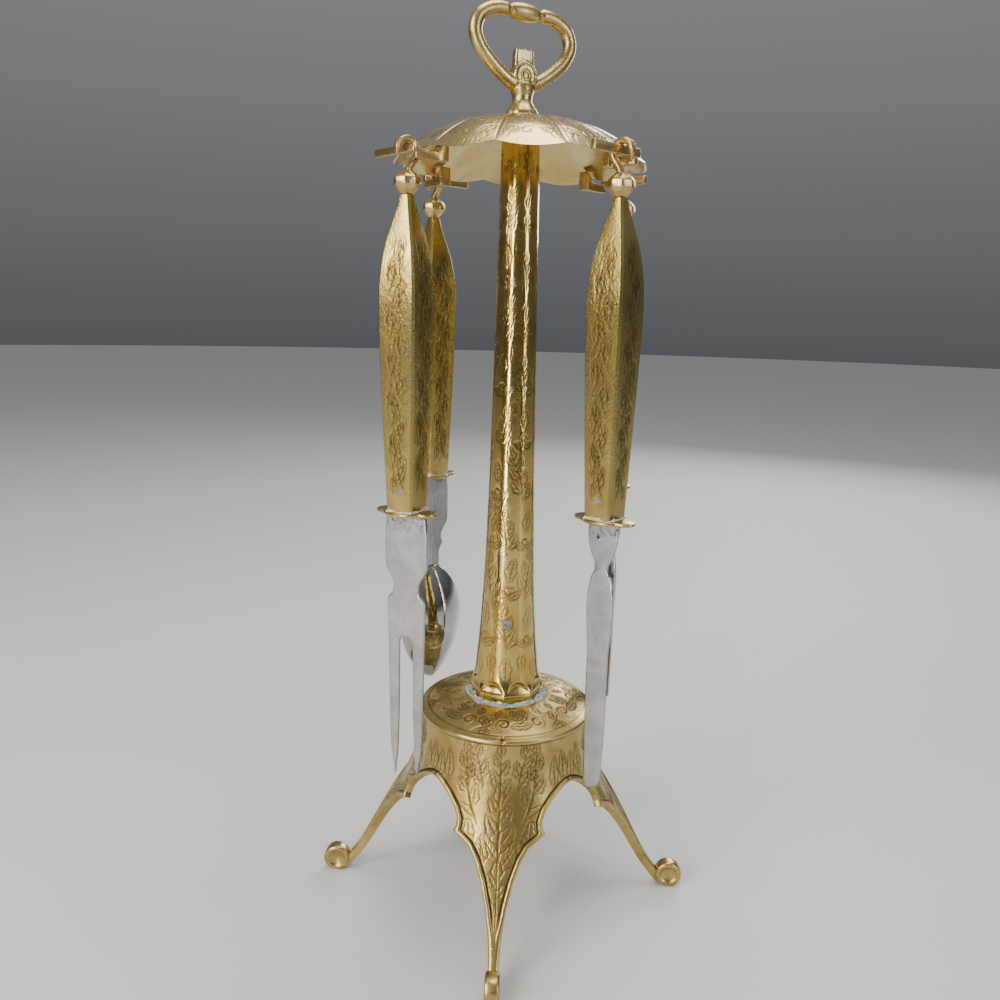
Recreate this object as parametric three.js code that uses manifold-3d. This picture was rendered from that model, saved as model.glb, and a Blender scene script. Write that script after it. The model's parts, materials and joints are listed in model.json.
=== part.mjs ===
// A standing brass caddy for four hanging serving tools: a pierced four-legged base, a tapered post,
// a scalloped canopy with four hook brackets, and a screw-on ring handle that is a bottle opener.
// Millimetres, +Z up, the origin on the floor under the middle of the post, the legs along X and Y.

import * as THREE from "three";
import { mergeVertices } from "three/addons/utils/BufferGeometryUtils.js";
import Module from "manifold-3d";

const wasm = await Module();
wasm.setup();

// ---------- driving dimensions ----------

const gap = 0.3; // clearance between pieces that touch
const TURN = Math.PI * 2;

const footCircle = 82.8; // radius of the circle through the four scroll feet
const scrollRadius = 6.4;
const scrollWidth = 6.2;
const scrollWear = 0.25; // how much of the scroll is worn to a flat where it stands
const skirtTopRadius = 39.6;
const skirtTop = 91;
const skirtWall = 2.4;
const strapWall = 3.4; // the legs thicken towards their feet
const skirtSides = 48;
const beadWidth = 2.3; // raised bead along the arches and legs
const beadHeight = 0.7;

const plateOverhang = 1; // the plate's rim past the skirt's top edge
const plateWall = 1.8;
const plateLip = 2.6;
const plateCrown = 5.4; // how far the middle of the plate stands above its lip
const plateFall = 1.6; // how far the plate has dropped half way out
const seatMargin = 1.8; // the plate's flat middle past the post's foot

const postHeight = 253;
const postFootRadius = 17.2;
const postTopRadius = 8;
const postWall = 1.8;
const postSides = 32;
const plugHeight = 37.5; // plug in the post, above the post's foot
const plugRadius = 2.4;

const rodRadius = 2.4;
const rodEnd = 2; // thread showing under the nut
const nutHeight = 5;
const nutAcross = 9;
const washerRadius = 9;
const washerWall = 1.2;
const bushHeight = 6;

const canopyRadius = 53.3;
const canopyRise = 18.5;
const canopyWall = 1.3;
const canopyLobes = 12;
const canopyCrease = 1.7; // how far the rim draws in at a crease
const creaseLift = 1.2; // and how far it rises there
const canopyFlats = 0.3; // how far the flats between the canopy's rings lie inside its curve
const canopyTurn = -45; // degrees: where the first bracket points
const creaseTurn = -9; // degrees: where the first crease lies

const hookStandOff = 5.5; // the arms' middle line past the canopy's rim
const armDepth = 2.4; // the bar, measured outwards
const armHeight = 3.6;
const armBefore = 5.7; // the arm's length each side of the tool that hangs on it
const armAfter = 20;
const armBevel = 0.7;
const armRise = 2; // the arm's top face over the canopy's rim
const tabInset = 5.7; // the bracket's tab, inside the canopy's rim
const tabDepth = 3.3;
const tabWiden = 1.6; // the tab past the neck, each side

const crookInner = 3.4; // radius of the crook that hooks over the arm
const crookThick = 2.6;
const crookWidth = 2.9;
const crookNeck = 6.5; // from the ball up to the middle of the crook
const ballRadius = 5.25;
const ballHeight = 9;
const stemRadius = 1.3;
const stemLength = 7;

const handleLength = 122.5;
const handleTopHalf = 2.4;
const handleMaxHalf = 8.3;
const handleMiddleHalf = 7.95;
const handleEndHalf = 6.1;
const handleWall = 1.3;
const handleBevel = 0.9;

const guardWall = 1.8;
const guardLength = 28;
const guardDepth = 16.6;

const bladeWall = 1.7;
const shieldHalf = 10.2;
const waistHalf = 6;
const shieldLength = 37; // guard to the shoulders below the waist
const tangHalf = 3.6;
const tangLength = 34;
const rivetRadius = 1.5;
const rivetHeight = 8; // above the handle's lower end

const forkLength = 117.5;
const forkCrotch = 52.5;
const forkSlotHalf = 3.25;
const knifeLength = 118;
const knifeHalf = 5.2;
const knifeShieldHalf = 7.3; // the knife's shield is narrower and its waist higher
const knifeWaistHalf = 2.6;
const knifeWaistDown = 19.5;
const eyeRadius = 1.2; // the oval hole under the knife's guard
const eyeSlimness = 1.5;
const eyeOff = 1.4;
const eyeDown = 5.5;
const spreaderLength = 112;
const spreaderHalf = 7.8;
const spoonNeck = 46; // guard to the start of the bowl
const bowlLength = 61;
const bowlHalf = 19;
const bowlDepth = 9;

const collarRadius = 7.2;
const openerWidth = 50.4;
const openerHeight = 43.6;
const openerBar = 2.8; // radius of the ring's bar
const openerTurn = 32; // degrees: the ring's width from the X axis
const hubRadius = 5.5; // the round boss under the tooth
const hubHeight = 16.8;
const hubDepth = 6.4;
const hubRim = 1.2;
const toothWidth = 9;
const toothTop = 27.2;

// ---------- sizes and heights that follow ----------

const plateRadius = skirtTopRadius + plateOverhang;
const postSeatRadius = postFootRadius + seatMargin;
const hookReach = canopyRadius + hookStandOff;
const lipTop = skirtTop + gap + plateLip;
const plateTop = lipTop + plateCrown;
const postFoot = plateTop + gap;
const postTop = postFoot + postHeight;
const canopyTop = postTop + gap + canopyWall;
const rimHeight = canopyTop - canopyRise;
const armTop = rimHeight + armRise;
const pivotHeight = armTop + gap / 2;
const collarFoot = canopyTop + gap;
const rodHole = rodRadius + gap;
const legWays = [0, 90, 180, 270];

// ---------- materials ----------

function finish(color, roughness, metalness) {
  return () => new THREE.MeshStandardMaterial({ color, roughness, metalness });
}

const agedBrass = finish(0xa98645, 0.42, 1);
const paleBrass = finish(0xc9a863, 0.34, 1);
const polishedBrass = finish(0xd2a94e, 0.22, 1);
const brassPlate = finish(0xb59a5a, 0.45, 1);
const stainless = finish(0xb9b5b0, 0.3, 1);
const steel = finish(0x8b8d8f, 0.5, 1);
const solder = finish(0x8d8a80, 0.6, 0.8);

// ---------- making solids ----------

const rad = THREE.MathUtils.degToRad;

function toSolid(geometry) {
  const bare = geometry.clone();
  bare.deleteAttribute("normal");
  bare.deleteAttribute("uv");
  const merged = mergeVertices(bare, 1e-4);
  const vertProperties = merged.attributes.position.array;
  const triVerts = new Uint32Array(merged.index.array);
  const made = new wasm.Manifold(new wasm.Mesh({ numProp: 3, vertProperties, triVerts }));
  if (made.volume() > 0) return made;
  const flipped = triVerts.map((v, i) => triVerts[i - (i % 3) + ((3 - (i % 3)) % 3)]);
  return new wasm.Manifold(new wasm.Mesh({ numProp: 3, vertProperties, triVerts: flipped }));
}

function toGeometry(made) {
  const { vertProperties, triVerts, numProp } = made.getMesh();
  const indexed = new THREE.BufferGeometry();
  const position = new Float32Array((vertProperties.length / numProp) * 3);
  for (let i = 0; i < position.length / 3; i++) {
    for (let k = 0; k < 3; k++) position[i * 3 + k] = vertProperties[i * numProp + k];
  }
  indexed.setAttribute("position", new THREE.BufferAttribute(position, 3));
  indexed.setIndex(new THREE.BufferAttribute(new Uint32Array(triVerts), 1));
  const geometry = indexed.toNonIndexed();
  geometry.computeVertexNormals();
  return geometry;
}

// A closed [radius, height] profile turned round Z.
function turned(profile, sides) {
  const points = profile.map(([r, z]) => new THREE.Vector2(r, z));
  return toSolid(new THREE.LatheGeometry(points, sides).rotateX(Math.PI / 2));
}

function disc(radius, bottom, height, sides = 24) {
  return turned([[0, bottom], [radius, bottom], [radius, bottom + height], [0, bottom + height]], sides);
}

function block(x0, x1, y0, y1, z0, z1) {
  const box = new THREE.BoxGeometry(x1 - x0, y1 - y0, z1 - z0);
  return toSolid(box.translate((x0 + x1) / 2, (y0 + y1) / 2, (z0 + z1) / 2));
}

// A flat outline of [across, up] points, extruded along Y from y0 to y1.
function upright(outline, y0, y1) {
  const shape = new THREE.Shape(outline.map(([x, z]) => new THREE.Vector2(x, z)));
  const made = new THREE.ExtrudeGeometry(shape, { depth: y1 - y0, bevelEnabled: false, curveSegments: 1 });
  return toSolid(made.rotateX(Math.PI / 2).translate(0, y1, 0));
}

// A cylinder along Y through (x, z).
function crossPin(radius, x, z, length, sides = 20) {
  return toSolid(new THREE.CylinderGeometry(radius, radius, length, sides).translate(x, 0, z));
}

// Rings of points joined into a closed skin, each end closed to its own middle.
function loft(rings) {
  const sides = rings[0].length;
  const index = [];
  const points = rings.flat();
  for (let i = 0; i + 1 < rings.length; i++) {
    for (let k = 0; k < sides; k++) {
      const a = i * sides + k;
      const b = i * sides + ((k + 1) % sides);
      index.push(a, b, b + sides, a, b + sides, a + sides);
    }
  }
  for (const [ring, start, back] of [[rings[0], 0, true], [rings.at(-1), points.length - sides, false]]) {
    const middle = points.length;
    points.push(ring.reduce((sum, p) => sum.add(p), new THREE.Vector3()).divideScalar(sides));
    for (let k = 0; k < sides; k++) {
      const pair = [start + k, start + ((k + 1) % sides)];
      index.push(middle, ...(back ? pair.reverse() : pair));
    }
  }
  const geometry = new THREE.BufferGeometry().setFromPoints(points);
  return toSolid(geometry.setIndex(index).toNonIndexed());
}

// A bar bent in the YZ plane (or XZ, with across = "y"): path points are [along, up], and
// half(t) gives the bar's half thickness and half width at t from 0 to 1.
function bentBar(path, half, steps, sides, across) {
  const points = path.map(([a, z]) => new THREE.Vector3(a, 0, z));
  const curve = new THREE.CatmullRomCurve3(points, false, "centripetal");
  const rings = [];
  for (let i = 0; i <= steps; i++) {
    const t = i / steps;
    const p = curve.getPointAt(t);
    const d = curve.getTangentAt(t);
    const [thick, wide] = half(t, p);
    const ring = [];
    for (let k = 0; k < sides; k++) {
      const turn = ((k + 0.5) / sides) * TURN;
      const out = Math.cos(turn) * thick;
      const side = Math.sin(turn) * wide;
      const along = p.x - d.z * out;
      const up = p.z + d.x * out;
      ring.push(across === "y" ? new THREE.Vector3(along, side, up) : new THREE.Vector3(side, along, up));
    }
    rings.push(ring);
  }
  return loft(rings);
}

// A [radius, height] line moved sideways by wall(i), to its inner side.
function offsetLine(line, wall) {
  return line.map(([r, z], i) => {
    const a = line[Math.max(i - 1, 0)];
    const b = line[Math.min(i + 1, line.length - 1)];
    const length = Math.hypot(b[0] - a[0], b[1] - a[1]);
    return [r + ((b[1] - a[1]) / length) * wall(i), z - ((b[0] - a[0]) / length) * wall(i)];
  });
}

function join(...solids) {
  return solids.reduce((all, one) => all.add(one));
}

function spun(made, degrees) {
  return made.rotate([0, 0, degrees]);
}

// ---------- the scene ----------

const caddy = new THREE.Group();

function add(name, made, material, parent = caddy) {
  const mesh = new THREE.Mesh(toGeometry(made), material());
  mesh.name = name;
  parent.add(mesh);
  return mesh;
}

// ---------- base: skirt, four legs and scroll feet, one casting ----------

// The skirt's outer line from its top edge to the toe: how far out and how high, as shares.
const skirtShares = [
  [0, 1], [0.02, 0.915], [0.07, 0.79], [0.18, 0.655], [0.257, 0.577], [0.364, 0.495],
  [0.505, 0.385], [0.663, 0.253], [0.8, 0.152], [0.926, 0.079], [1, 0.04],
];
// Half of one leg, from the toe to the crown of the arch: half width in mm and height as a share.
const legShares = [
  [2.25, -0.02], [2.25, 0.12], [3, 0.21], [4.7, 0.313], [7.2, 0.412], [10.2, 0.49], [13.2, 0.537],
  [17, 0.562], [20.4, 0.58], [19.1, 0.604], [18.8, 0.637], [20.3, 0.68], [23.6, 0.726], [27, 0.758],
];
const archCrown = 0.775;
const legDrawnFor = 39.6; // the skirt's top radius that the half widths above are drawn for
const legSlimness = skirtTopRadius / legDrawnFor;

const toeRadius = footCircle - 0.45 * scrollRadius;
const skirtLine = skirtShares.map(([out, up]) => [
  skirtTopRadius + (toeRadius - skirtTopRadius) * out,
  skirtTop * up,
]);

function skirtRadiusAt(height) {
  const i = skirtLine.findIndex(([, z]) => z <= height);
  const [r0, z0] = skirtLine[i - 1];
  const [r1, z1] = skirtLine[i];
  return r0 + ((r1 - r0) * (z0 - height)) / (z0 - z1);
}

function skirtShell(proud, wall) {
  const outer = offsetLine(skirtLine, () => -proud);
  const inner = offsetLine(skirtLine, wall);
  outer[0][1] = skirtTop;
  inner[0][1] = skirtTop;
  const closed = [...outer, ...inner.reverse(), outer[0]];
  return turned(closed, skirtSides);
}

// The four legs' outlines as prisms; inset draws them in by the bead's width.
function legPrisms(inset) {
  const crown = skirtTop * archCrown;
  const half = legShares.map(([w, up]) => [w * legSlimness, skirtTop * up]);
  half.push([skirtRadiusAt(crown) * Math.SQRT1_2, crown]);
  const line = inset > 0 ? offsetLine(half, () => -inset).filter(([x]) => x > inset / 6) : half;
  const [, topZ] = line.at(-1);
  const reach = footCircle;
  line.push([reach, topZ], [reach, skirtTop + 5]);
  const outline = [...line, ...line.map(([x, z]) => [-x, z]).reverse()];
  const prism = spun(upright(outline, -footCircle - scrollRadius, 0), 90);
  return join(...legWays.map((way) => spun(prism, way)));
}

function scrollFoot() {
  const middle = scrollRadius - scrollWear;
  const roll = crossPin(scrollRadius, footCircle, middle, scrollWidth, 20);
  const dishes = [1, -1].map((side) => {
    const dish = new THREE.CylinderGeometry(scrollRadius * 0.66, scrollRadius * 0.2, 1.2, 14);
    if (side < 0) dish.rotateX(Math.PI);
    return toSolid(dish.translate(footCircle, side * (scrollWidth / 2 - 0.55), middle));
  });
  const floor = block(footCircle - 20, footCircle + 20, -20, 20, -20, 0);
  return roll.subtract(join(...dishes, floor));
}

const wallAt = (i) => skirtWall + ((strapWall - skirtWall) * i) / (skirtLine.length - 1);
const legs = legPrisms(0);
const skirt = skirtShell(0, wallAt).intersect(legs);
const bead = skirtShell(beadHeight, () => skirtWall / 2).intersect(legs.subtract(legPrisms(beadWidth)));
const feet = legWays.map((way) => spun(scrollFoot(), way));
const lipRoom = disc(footCircle, skirtTop, 20);
add("base_casting", join(skirt, bead, ...feet).subtract(lipRoom), agedBrass);

// ---------- base: the domed plate that the post stands on ----------

const plateHalfWay = (postSeatRadius + plateRadius) / 2;
const plateProfile = [
  [rodHole, plateTop], [postSeatRadius, plateTop], [plateHalfWay, plateTop - plateFall],
  [plateRadius - 2.4, lipTop + 0.3], [plateRadius - 0.7, lipTop], [plateRadius, lipTop - 0.7],
  [plateRadius, skirtTop + gap + 0.6], [plateRadius - 0.6, skirtTop + gap],
  [plateRadius - 5.4, skirtTop + gap], [plateRadius - 6, lipTop + 0.4 - plateWall],
  [plateHalfWay - 1, plateTop - plateFall - plateWall],
  [postSeatRadius - 1, plateTop - plateWall], [rodHole, plateTop - plateWall], [rodHole, plateTop],
];
add("base_top_plate", turned(plateProfile, skirtSides), brassPlate);

// ---------- post, with its plug and the rod that holds the stand together ----------

// The post's line from foot to top: the share of its height, and of the way in from foot to top radius.
const postShares = [
  [0, 0.13], [0.014, 0], [0.032, 0.165], [0.081, 0.336], [0.176, 0.533], [0.36, 0.72], [0.54, 0.823],
  [0.83, 0.94], [1, 1],
];
const postLine = postShares.map(([up, inwards]) => [
  postFootRadius + (postTopRadius - postFootRadius) * inwards,
  postHeight * up,
]);

function postRadiusAt(height) {
  const i = postLine.findIndex(([, z]) => z > height);
  const [r0, z0] = postLine[i - 1];
  const [r1, z1] = postLine[i];
  return r0 + ((r1 - r0) * (height - z0)) / (z1 - z0);
}

function post() {
  const inner = postLine.map(([r, z]) => [r - postWall, z]).reverse();
  const tube = turned([...postLine, ...inner, postLine[0]], postSides).translate([0, 0, postFoot]);
  const hole = crossPin(plugRadius + gap, 0, postFoot + plugHeight, 60).translate([0, -30, 0]);
  return tube.subtract(hole);
}
add("post", post(), polishedBrass);

const plugOut = postRadiusAt(plugHeight);
const plug = crossPin(plugRadius, 0, postFoot + plugHeight, postWall + 0.3);
add("post_plug", plug.translate([0, -plugOut + postWall / 2, 0]), solder);

const plateUnder = plateTop - plateWall;
const washerTop = plateUnder - gap;
const nutTop = washerTop - washerWall - gap;
const rodBottom = nutTop - nutHeight - rodEnd;
const rodTop = collarFoot + 8.4;
const rodWay = disc(rodHole, 0, rodTop, 20);
add("tie_rod", disc(rodRadius, rodBottom, rodTop - rodBottom, 16), steel);
add("base_washer", disc(washerRadius, washerTop - washerWall, washerWall).subtract(rodWay), steel);
add("base_nut", disc(nutAcross / Math.sqrt(3), nutTop - nutHeight, nutHeight, 6).subtract(rodWay), steel);

const bushRadius = postTopRadius - postWall - gap;
add("post_bush", disc(bushRadius, postTop - bushHeight, bushHeight).subtract(rodWay), paleBrass);

// ---------- canopy: twelve lobes drawn in at their creases ----------

function canopyPoint(share, turn, drop) {
  const lobe = Math.abs(Math.sin((canopyLobes / 2) * (turn - rad(creaseTurn))));
  const draw = canopyCrease * (1 - lobe) * share * share;
  const r = share * (canopyRadius - drop * 0.8) - draw;
  const z = canopyTop - drop - (canopyRise - drop) * share ** 3 - draw * 0.35 * (1 - share ** 6);
  const lift = creaseLift * (1 - lobe) * share ** 8;
  return new THREE.Vector3(r * Math.cos(turn), r * Math.sin(turn), z + lift);
}

function canopy() {
  const steps = [0.14, 0.42, 0.62, 0.78, 0.9, 1];
  const sides = canopyLobes * 4;
  const first = rad(creaseTurn);
  const ringAt = (share, drop) =>
    Array.from({ length: sides }, (_, k) => canopyPoint(share, first + (k / sides) * TURN, drop));
  const outside = steps.map((share) => ringAt(share, 0));
  const inside = steps.map((share) => ringAt(share, canopyWall));
  const room = loft([...inside, lowered(inside.at(-1))]);
  return loft(outside).subtract(join(room, rodWay));
}

// The cavity ends in a ring below the rim, so that the rim is left open.
function lowered(ring) {
  return ring.map((p) => new THREE.Vector3(p.x, p.y, p.z - creaseLift - canopyWall));
}

const canopyGroup = new THREE.Group();
caddy.add(canopyGroup);
add("canopy", canopy(), agedBrass, canopyGroup);

// ---------- hook brackets: a tab under the rim, a neck outwards and an arm along the rim ----------

const hookWays = {
  front_left: canopyTurn - 90,
  front_right: canopyTurn,
  back_right: canopyTurn + 90,
  back_left: canopyTurn + 180,
};

// The lowest that the canopy's underside comes at a radius, which is along a crease, less the gap.
function canopyUnderAt(radius) {
  const share = radius / (canopyRadius - canopyWall - canopyCrease);
  const fall = (canopyRise - canopyWall) * share ** 3 + canopyCrease / 3 + canopyFlats;
  return canopyTop - canopyWall - fall - gap;
}

// Drawn for a hook that points along +X; its arm runs clockwise, along -Y.
function hookBracket() {
  const z0 = armTop - armHeight;
  const neckTop = rimHeight - gap;
  const neckFoot = neckTop - armHeight;
  const neckMiddle = armBefore - armDepth / 2;
  const tabOut = canopyRadius - tabInset;
  const neckIn = tabOut - tabDepth;
  const neckHalf = armDepth / 2;
  const neck = block(neckIn, hookReach, neckMiddle - neckHalf, neckMiddle + neckHalf, neckFoot, neckTop);
  const inner = hookReach - armDepth / 2;
  const outer = hookReach + armDepth / 2;
  const section = [
    [inner, z0], [outer, z0], [outer, armTop - armBevel], [outer - armBevel, armTop],
    [inner + armBevel, armTop], [inner, armTop - armBevel],
  ];
  const arm = upright(section, -armAfter, armBefore);
  const tab = [
    [neckIn, neckFoot], [tabOut, neckFoot], [tabOut, canopyUnderAt(tabOut)], [neckIn, canopyUnderAt(neckIn)],
  ];
  const tabHalf = neckHalf + tabWiden;
  return join(neck, arm, upright(tab, neckMiddle - tabHalf, neckMiddle + tabHalf));
}

for (const [place, way] of Object.entries(hookWays)) {
  add(`hook_${place}`, spun(hookBracket(), way), paleBrass, canopyGroup);
}

// ---------- tools: hanger, handle, guard, rivet and working end ----------
// Each is drawn hanging from the origin, its flat faces along X and its crook's tip towards -Y.

const crookMiddle = gap / 2 - crookInner;
const ballTop = crookMiddle - crookNeck;
const ballBottom = ballTop - ballHeight;
const handleTop = ballBottom - gap;
const handleEnd = handleTop - handleLength;
const guardTop = handleEnd - gap;
const guardEnd = guardTop - guardWall;
const bladeTop = guardEnd - gap;

function hanger() {
  const r = crookInner + crookThick / 2;
  const path = [[0, ballTop - 1.2], [0.9, ballTop + 0.8], [2.6, ballTop + 2.9], [4.1, ballTop + 4.8]];
  for (let i = 0; i <= 8; i++) {
    const turn = rad(-6 + i * 24);
    path.push([r * Math.cos(turn), crookMiddle + r * Math.sin(turn)]);
  }
  path.push([-r + 0.3, crookMiddle - 2.4]);
  const half = (t) => {
    const slim = t > 0.86 ? 1 - 0.8 * ((t - 0.86) / 0.14) : 1;
    return [(crookThick / 2) * slim, (crookWidth / 2) * slim];
  };
  const crook = bentBar(path, half, 18, 6, "x");
  const shares = [[0.34, 0], [0.8, 0.2], [1, 0.46], [0.98, 0.62], [0.62, 0.9], [0.45, 1]];
  const ball = shares.map(([out, down]) => {
    const z = ballTop - down * ballHeight;
    return Array.from({ length: 8 }, (_, k) => {
      const turn = ((k + 0.5) / 8) * TURN;
      return new THREE.Vector3(ballRadius * out * Math.cos(turn), ballRadius * out * Math.sin(turn), z);
    });
  });
  return join(crook, loft(ball), disc(stemRadius, ballBottom - stemLength, stemLength + 2, 12));
}

// The handle's half width at a depth below its top.
const handleShares = [
  [0, 0], [0.035, 0.12], [0.08, 0.34], [0.14, 0.64], [0.2, 0.84], [0.27, 0.96], [0.33, 1],
];
const handleLine = [
  ...handleShares.map(([down, share]) => [
    handleTopHalf + (handleMaxHalf - handleTopHalf) * share,
    handleTop - handleLength * down,
  ]),
  [handleMiddleHalf, handleTop - handleLength / 2],
  [handleEndHalf, handleEnd],
];

// The half width in the lower half, at a height above the lower end.
function handleHalfNearEnd(height) {
  return handleEndHalf + ((handleMiddleHalf - handleEndHalf) * height) / (handleLength / 2);
}

function handleSkin(line, inset) {
  return loft(line.map(([half, z]) => {
    const h = half - inset;
    const b = Math.min(handleBevel, h / 2.5);
    const corners = [
      [h, h - b], [h - b, h], [b - h, h], [-h, h - b], [-h, b - h], [b - h, -h], [h - b, -h], [h, b - h],
    ];
    return corners.map(([x, y]) => new THREE.Vector3(x, y, z));
  }));
}

function handle() {
  const roomTop = handleTop - stemLength - gap;
  const room = handleLine.filter(([, z], i) => z < roomTop && i % 2 === 0);
  room[room.length - 1] = [handleEndHalf, handleEnd - 1];
  const stemHole = disc(stemRadius + gap, roomTop - 6, handleTop + 1 - (roomTop - 6), 12);
  const rivetHole = crossPin(rivetRadius + gap, 0, handleEnd + rivetHeight, 40, 12);
  return handleSkin(handleLine, 0).subtract(join(handleSkin(room, handleWall), stemHole, rivetHole));
}

function guard() {
  const middle = new THREE.CylinderGeometry(1, 1, guardWall, 16).rotateX(Math.PI / 2);
  middle.scale(guardLength * 0.35, guardDepth / 2, 1).translate(0, 0, guardTop - guardWall / 2);
  const ears = [1, -1].map((side) => {
    const ear = new THREE.CylinderGeometry(1, 1, guardWall, 12).rotateX(Math.PI / 2);
    const half = guardLength * 0.2;
    ear.scale(half, guardDepth * 0.27, 1);
    return toSolid(ear.translate(side * (guardLength / 2 - half), 0, guardTop - guardWall / 2));
  });
  const slotX = tangHalf + gap;
  const slotY = bladeWall / 2 + gap;
  const slot = block(-slotX, slotX, -slotY, slotY, guardEnd - 1, guardTop + 1);
  return join(toSolid(middle), ...ears).subtract(slot);
}

// The shield and waist that every blade has below its guard, as [half width, depth] from the top.
const shieldShares = [[0.91, 0], [1, 0.22], [1, 0.55], [0.94, 0.64]];
const shieldLine = shieldShares.map(([w, d]) => [w * shieldHalf, d * shieldLength]);
const waistLine = [
  [(shieldHalf + waistHalf) / 2 - 0.4, 0.725 * shieldLength],
  [waistHalf + 0.3, 0.79 * shieldLength],
  [waistHalf, 0.86 * shieldLength],
  [waistHalf + 1, 0.935 * shieldLength],
];

// A blade outline from its right and left halves, with the tang on top.
function bladeOutline(right, left) {
  const tang = [[-tangHalf, tangLength], [tangHalf, tangLength], [tangHalf, 0]];
  const down = (line, side) => line.map(([w, d]) => [side * w, -d]);
  const points = [...tang, ...down(right, 1), ...down(left, -1).reverse(), [-tangHalf, 0]];
  return points.map(([x, z]) => [x, z + bladeTop]);
}

function flatBlade(right, left) {
  const plate = upright(bladeOutline(right, left), -bladeWall / 2, bladeWall / 2);
  return plate.subtract(crossPin(rivetRadius + gap, 0, handleEnd + rivetHeight, 40, 12));
}

function forkBlade() {
  const tine = [
    [shieldHalf * 0.9, shieldLength], [shieldHalf * 0.87, forkCrotch],
    [shieldHalf * 0.82, forkLength * 0.72], [shieldHalf * 0.74, forkLength * 0.9],
    [shieldHalf * 0.56, forkLength],
    [forkSlotHalf + 0.9, forkLength * 0.9], [forkSlotHalf + 0.25, forkLength * 0.75],
    [forkSlotHalf, forkCrotch + forkSlotHalf],
  ];
  const crotch = [60, 30, 0].map((a) => [
    forkSlotHalf * Math.sin(rad(a)),
    forkCrotch + forkSlotHalf * (1 - Math.cos(rad(a))),
  ]);
  const side = [...shieldLine, ...waistLine, ...tine, ...crotch];
  return flatBlade(side, side.slice(0, -1));
}

function knifeBlade() {
  const top = [
    [knifeShieldHalf, 0], [knifeShieldHalf - 0.3, 0.4 * knifeWaistDown],
    [(knifeShieldHalf + knifeWaistHalf) / 2 + 0.2, 0.72 * knifeWaistDown],
    [knifeWaistHalf + 0.6, 0.9 * knifeWaistDown], [knifeWaistHalf, knifeWaistDown],
    [(knifeHalf + knifeWaistHalf) / 2, 1.1 * knifeWaistDown], [knifeHalf - 0.2, 1.2 * knifeWaistDown],
    [knifeHalf, knifeLength * 0.5], [knifeHalf - 1, knifeLength - 7],
  ];
  const edge = [[knifeHalf - 1.6, knifeLength - 3.6], [knifeHalf - 2.8, knifeLength - 1.8]];
  const spine = [[knifeHalf - 1.3, knifeLength - 1], [knifeHalf - 2.4, knifeLength]];
  const eye = new THREE.CylinderGeometry(eyeRadius, eyeRadius, 4 * bladeWall, 16);
  eye.scale(1, 1, eyeSlimness).translate(-eyeOff, 0, bladeTop - eyeDown);
  return flatBlade([...top, ...edge], [...top, ...spine]).subtract(toSolid(eye));
}

function spreaderBlade() {
  const sides = [[spreaderHalf, shieldLength], [spreaderHalf + 0.5, spreaderLength * 0.62]];
  const top = [...shieldLine, ...waistLine, ...sides];
  const start = spreaderLength - spreaderHalf * 0.62;
  const round = [0, 18, 36, 54, 72].map((a) => [
    (spreaderHalf - 0.1) * Math.cos(rad(a)),
    start + spreaderHalf * 0.62 * Math.sin(rad(a)),
  ]);
  return flatBlade([...top, ...round], [...top, ...round, [0, spreaderLength]]);
}

// The spoon is a curved sheet: rows run down its length, and each row bellies towards +Y in the bowl.
function spoonBlade() {
  const rows = [];
  for (const [w, d] of [...shieldLine, ...waistLine]) rows.push([w, d, 0]);
  rows.push([waistHalf - 0.6, shieldLength, 0]);
  const bowlSteps = 14;
  for (let i = 1; i < bowlSteps; i++) {
    const s = i / bowlSteps;
    const belly = Math.sin(Math.PI * s ** 0.9) ** 0.62;
    const deep = bowlDepth * Math.sin(Math.PI * s) ** 0.8;
    rows.push([Math.max(bowlHalf * belly, waistHalf - 1.2), spoonNeck + bowlLength * s, deep]);
  }
  rows.push([bowlHalf * 0.2, spoonNeck + bowlLength, 0]);
  const across = [-1, -0.72, -0.4, 0, 0.4, 0.72, 1];
  const rings = rows.map(([w, d, deep]) => {
    const sheet = (side) => across.map((v) => (
      new THREE.Vector3(w * v, deep * (1 - v * v) + (side * bladeWall) / 2, bladeTop - d)
    ));
    return [...sheet(1), ...sheet(-1).reverse()];
  });
  const tang = block(-tangHalf, tangHalf, -bladeWall / 2, bladeWall / 2, bladeTop - 1, bladeTop + tangLength);
  const rivetHole = crossPin(rivetRadius + gap, 0, handleEnd + rivetHeight, 40, 12);
  return join(loft(rings), tang).subtract(rivetHole);
}

// Where each tool hangs, how far it has slid along its arm, and how far its handle is turned in its
// hanger, in degrees. The crook's tip always points straight outwards.
const tools = {
  fork: { place: "front_left", slid: 0, yaw: 21, end: "fork_blade", blade: forkBlade },
  knife: { place: "front_right", slid: 3.5, yaw: -83, end: "knife_blade", blade: knifeBlade },
  spreader: { place: "back_right", slid: 8, yaw: -11, end: "spreader_blade", blade: spreaderBlade },
  spoon: { place: "back_left", slid: 0, yaw: 0, end: "spoon_bowl", blade: spoonBlade },
};

const rivetLength = 2 * handleHalfNearEnd(rivetHeight) + gap;
const hangerTurn = 90; // from the bracket's way to the way the tools are drawn

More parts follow.
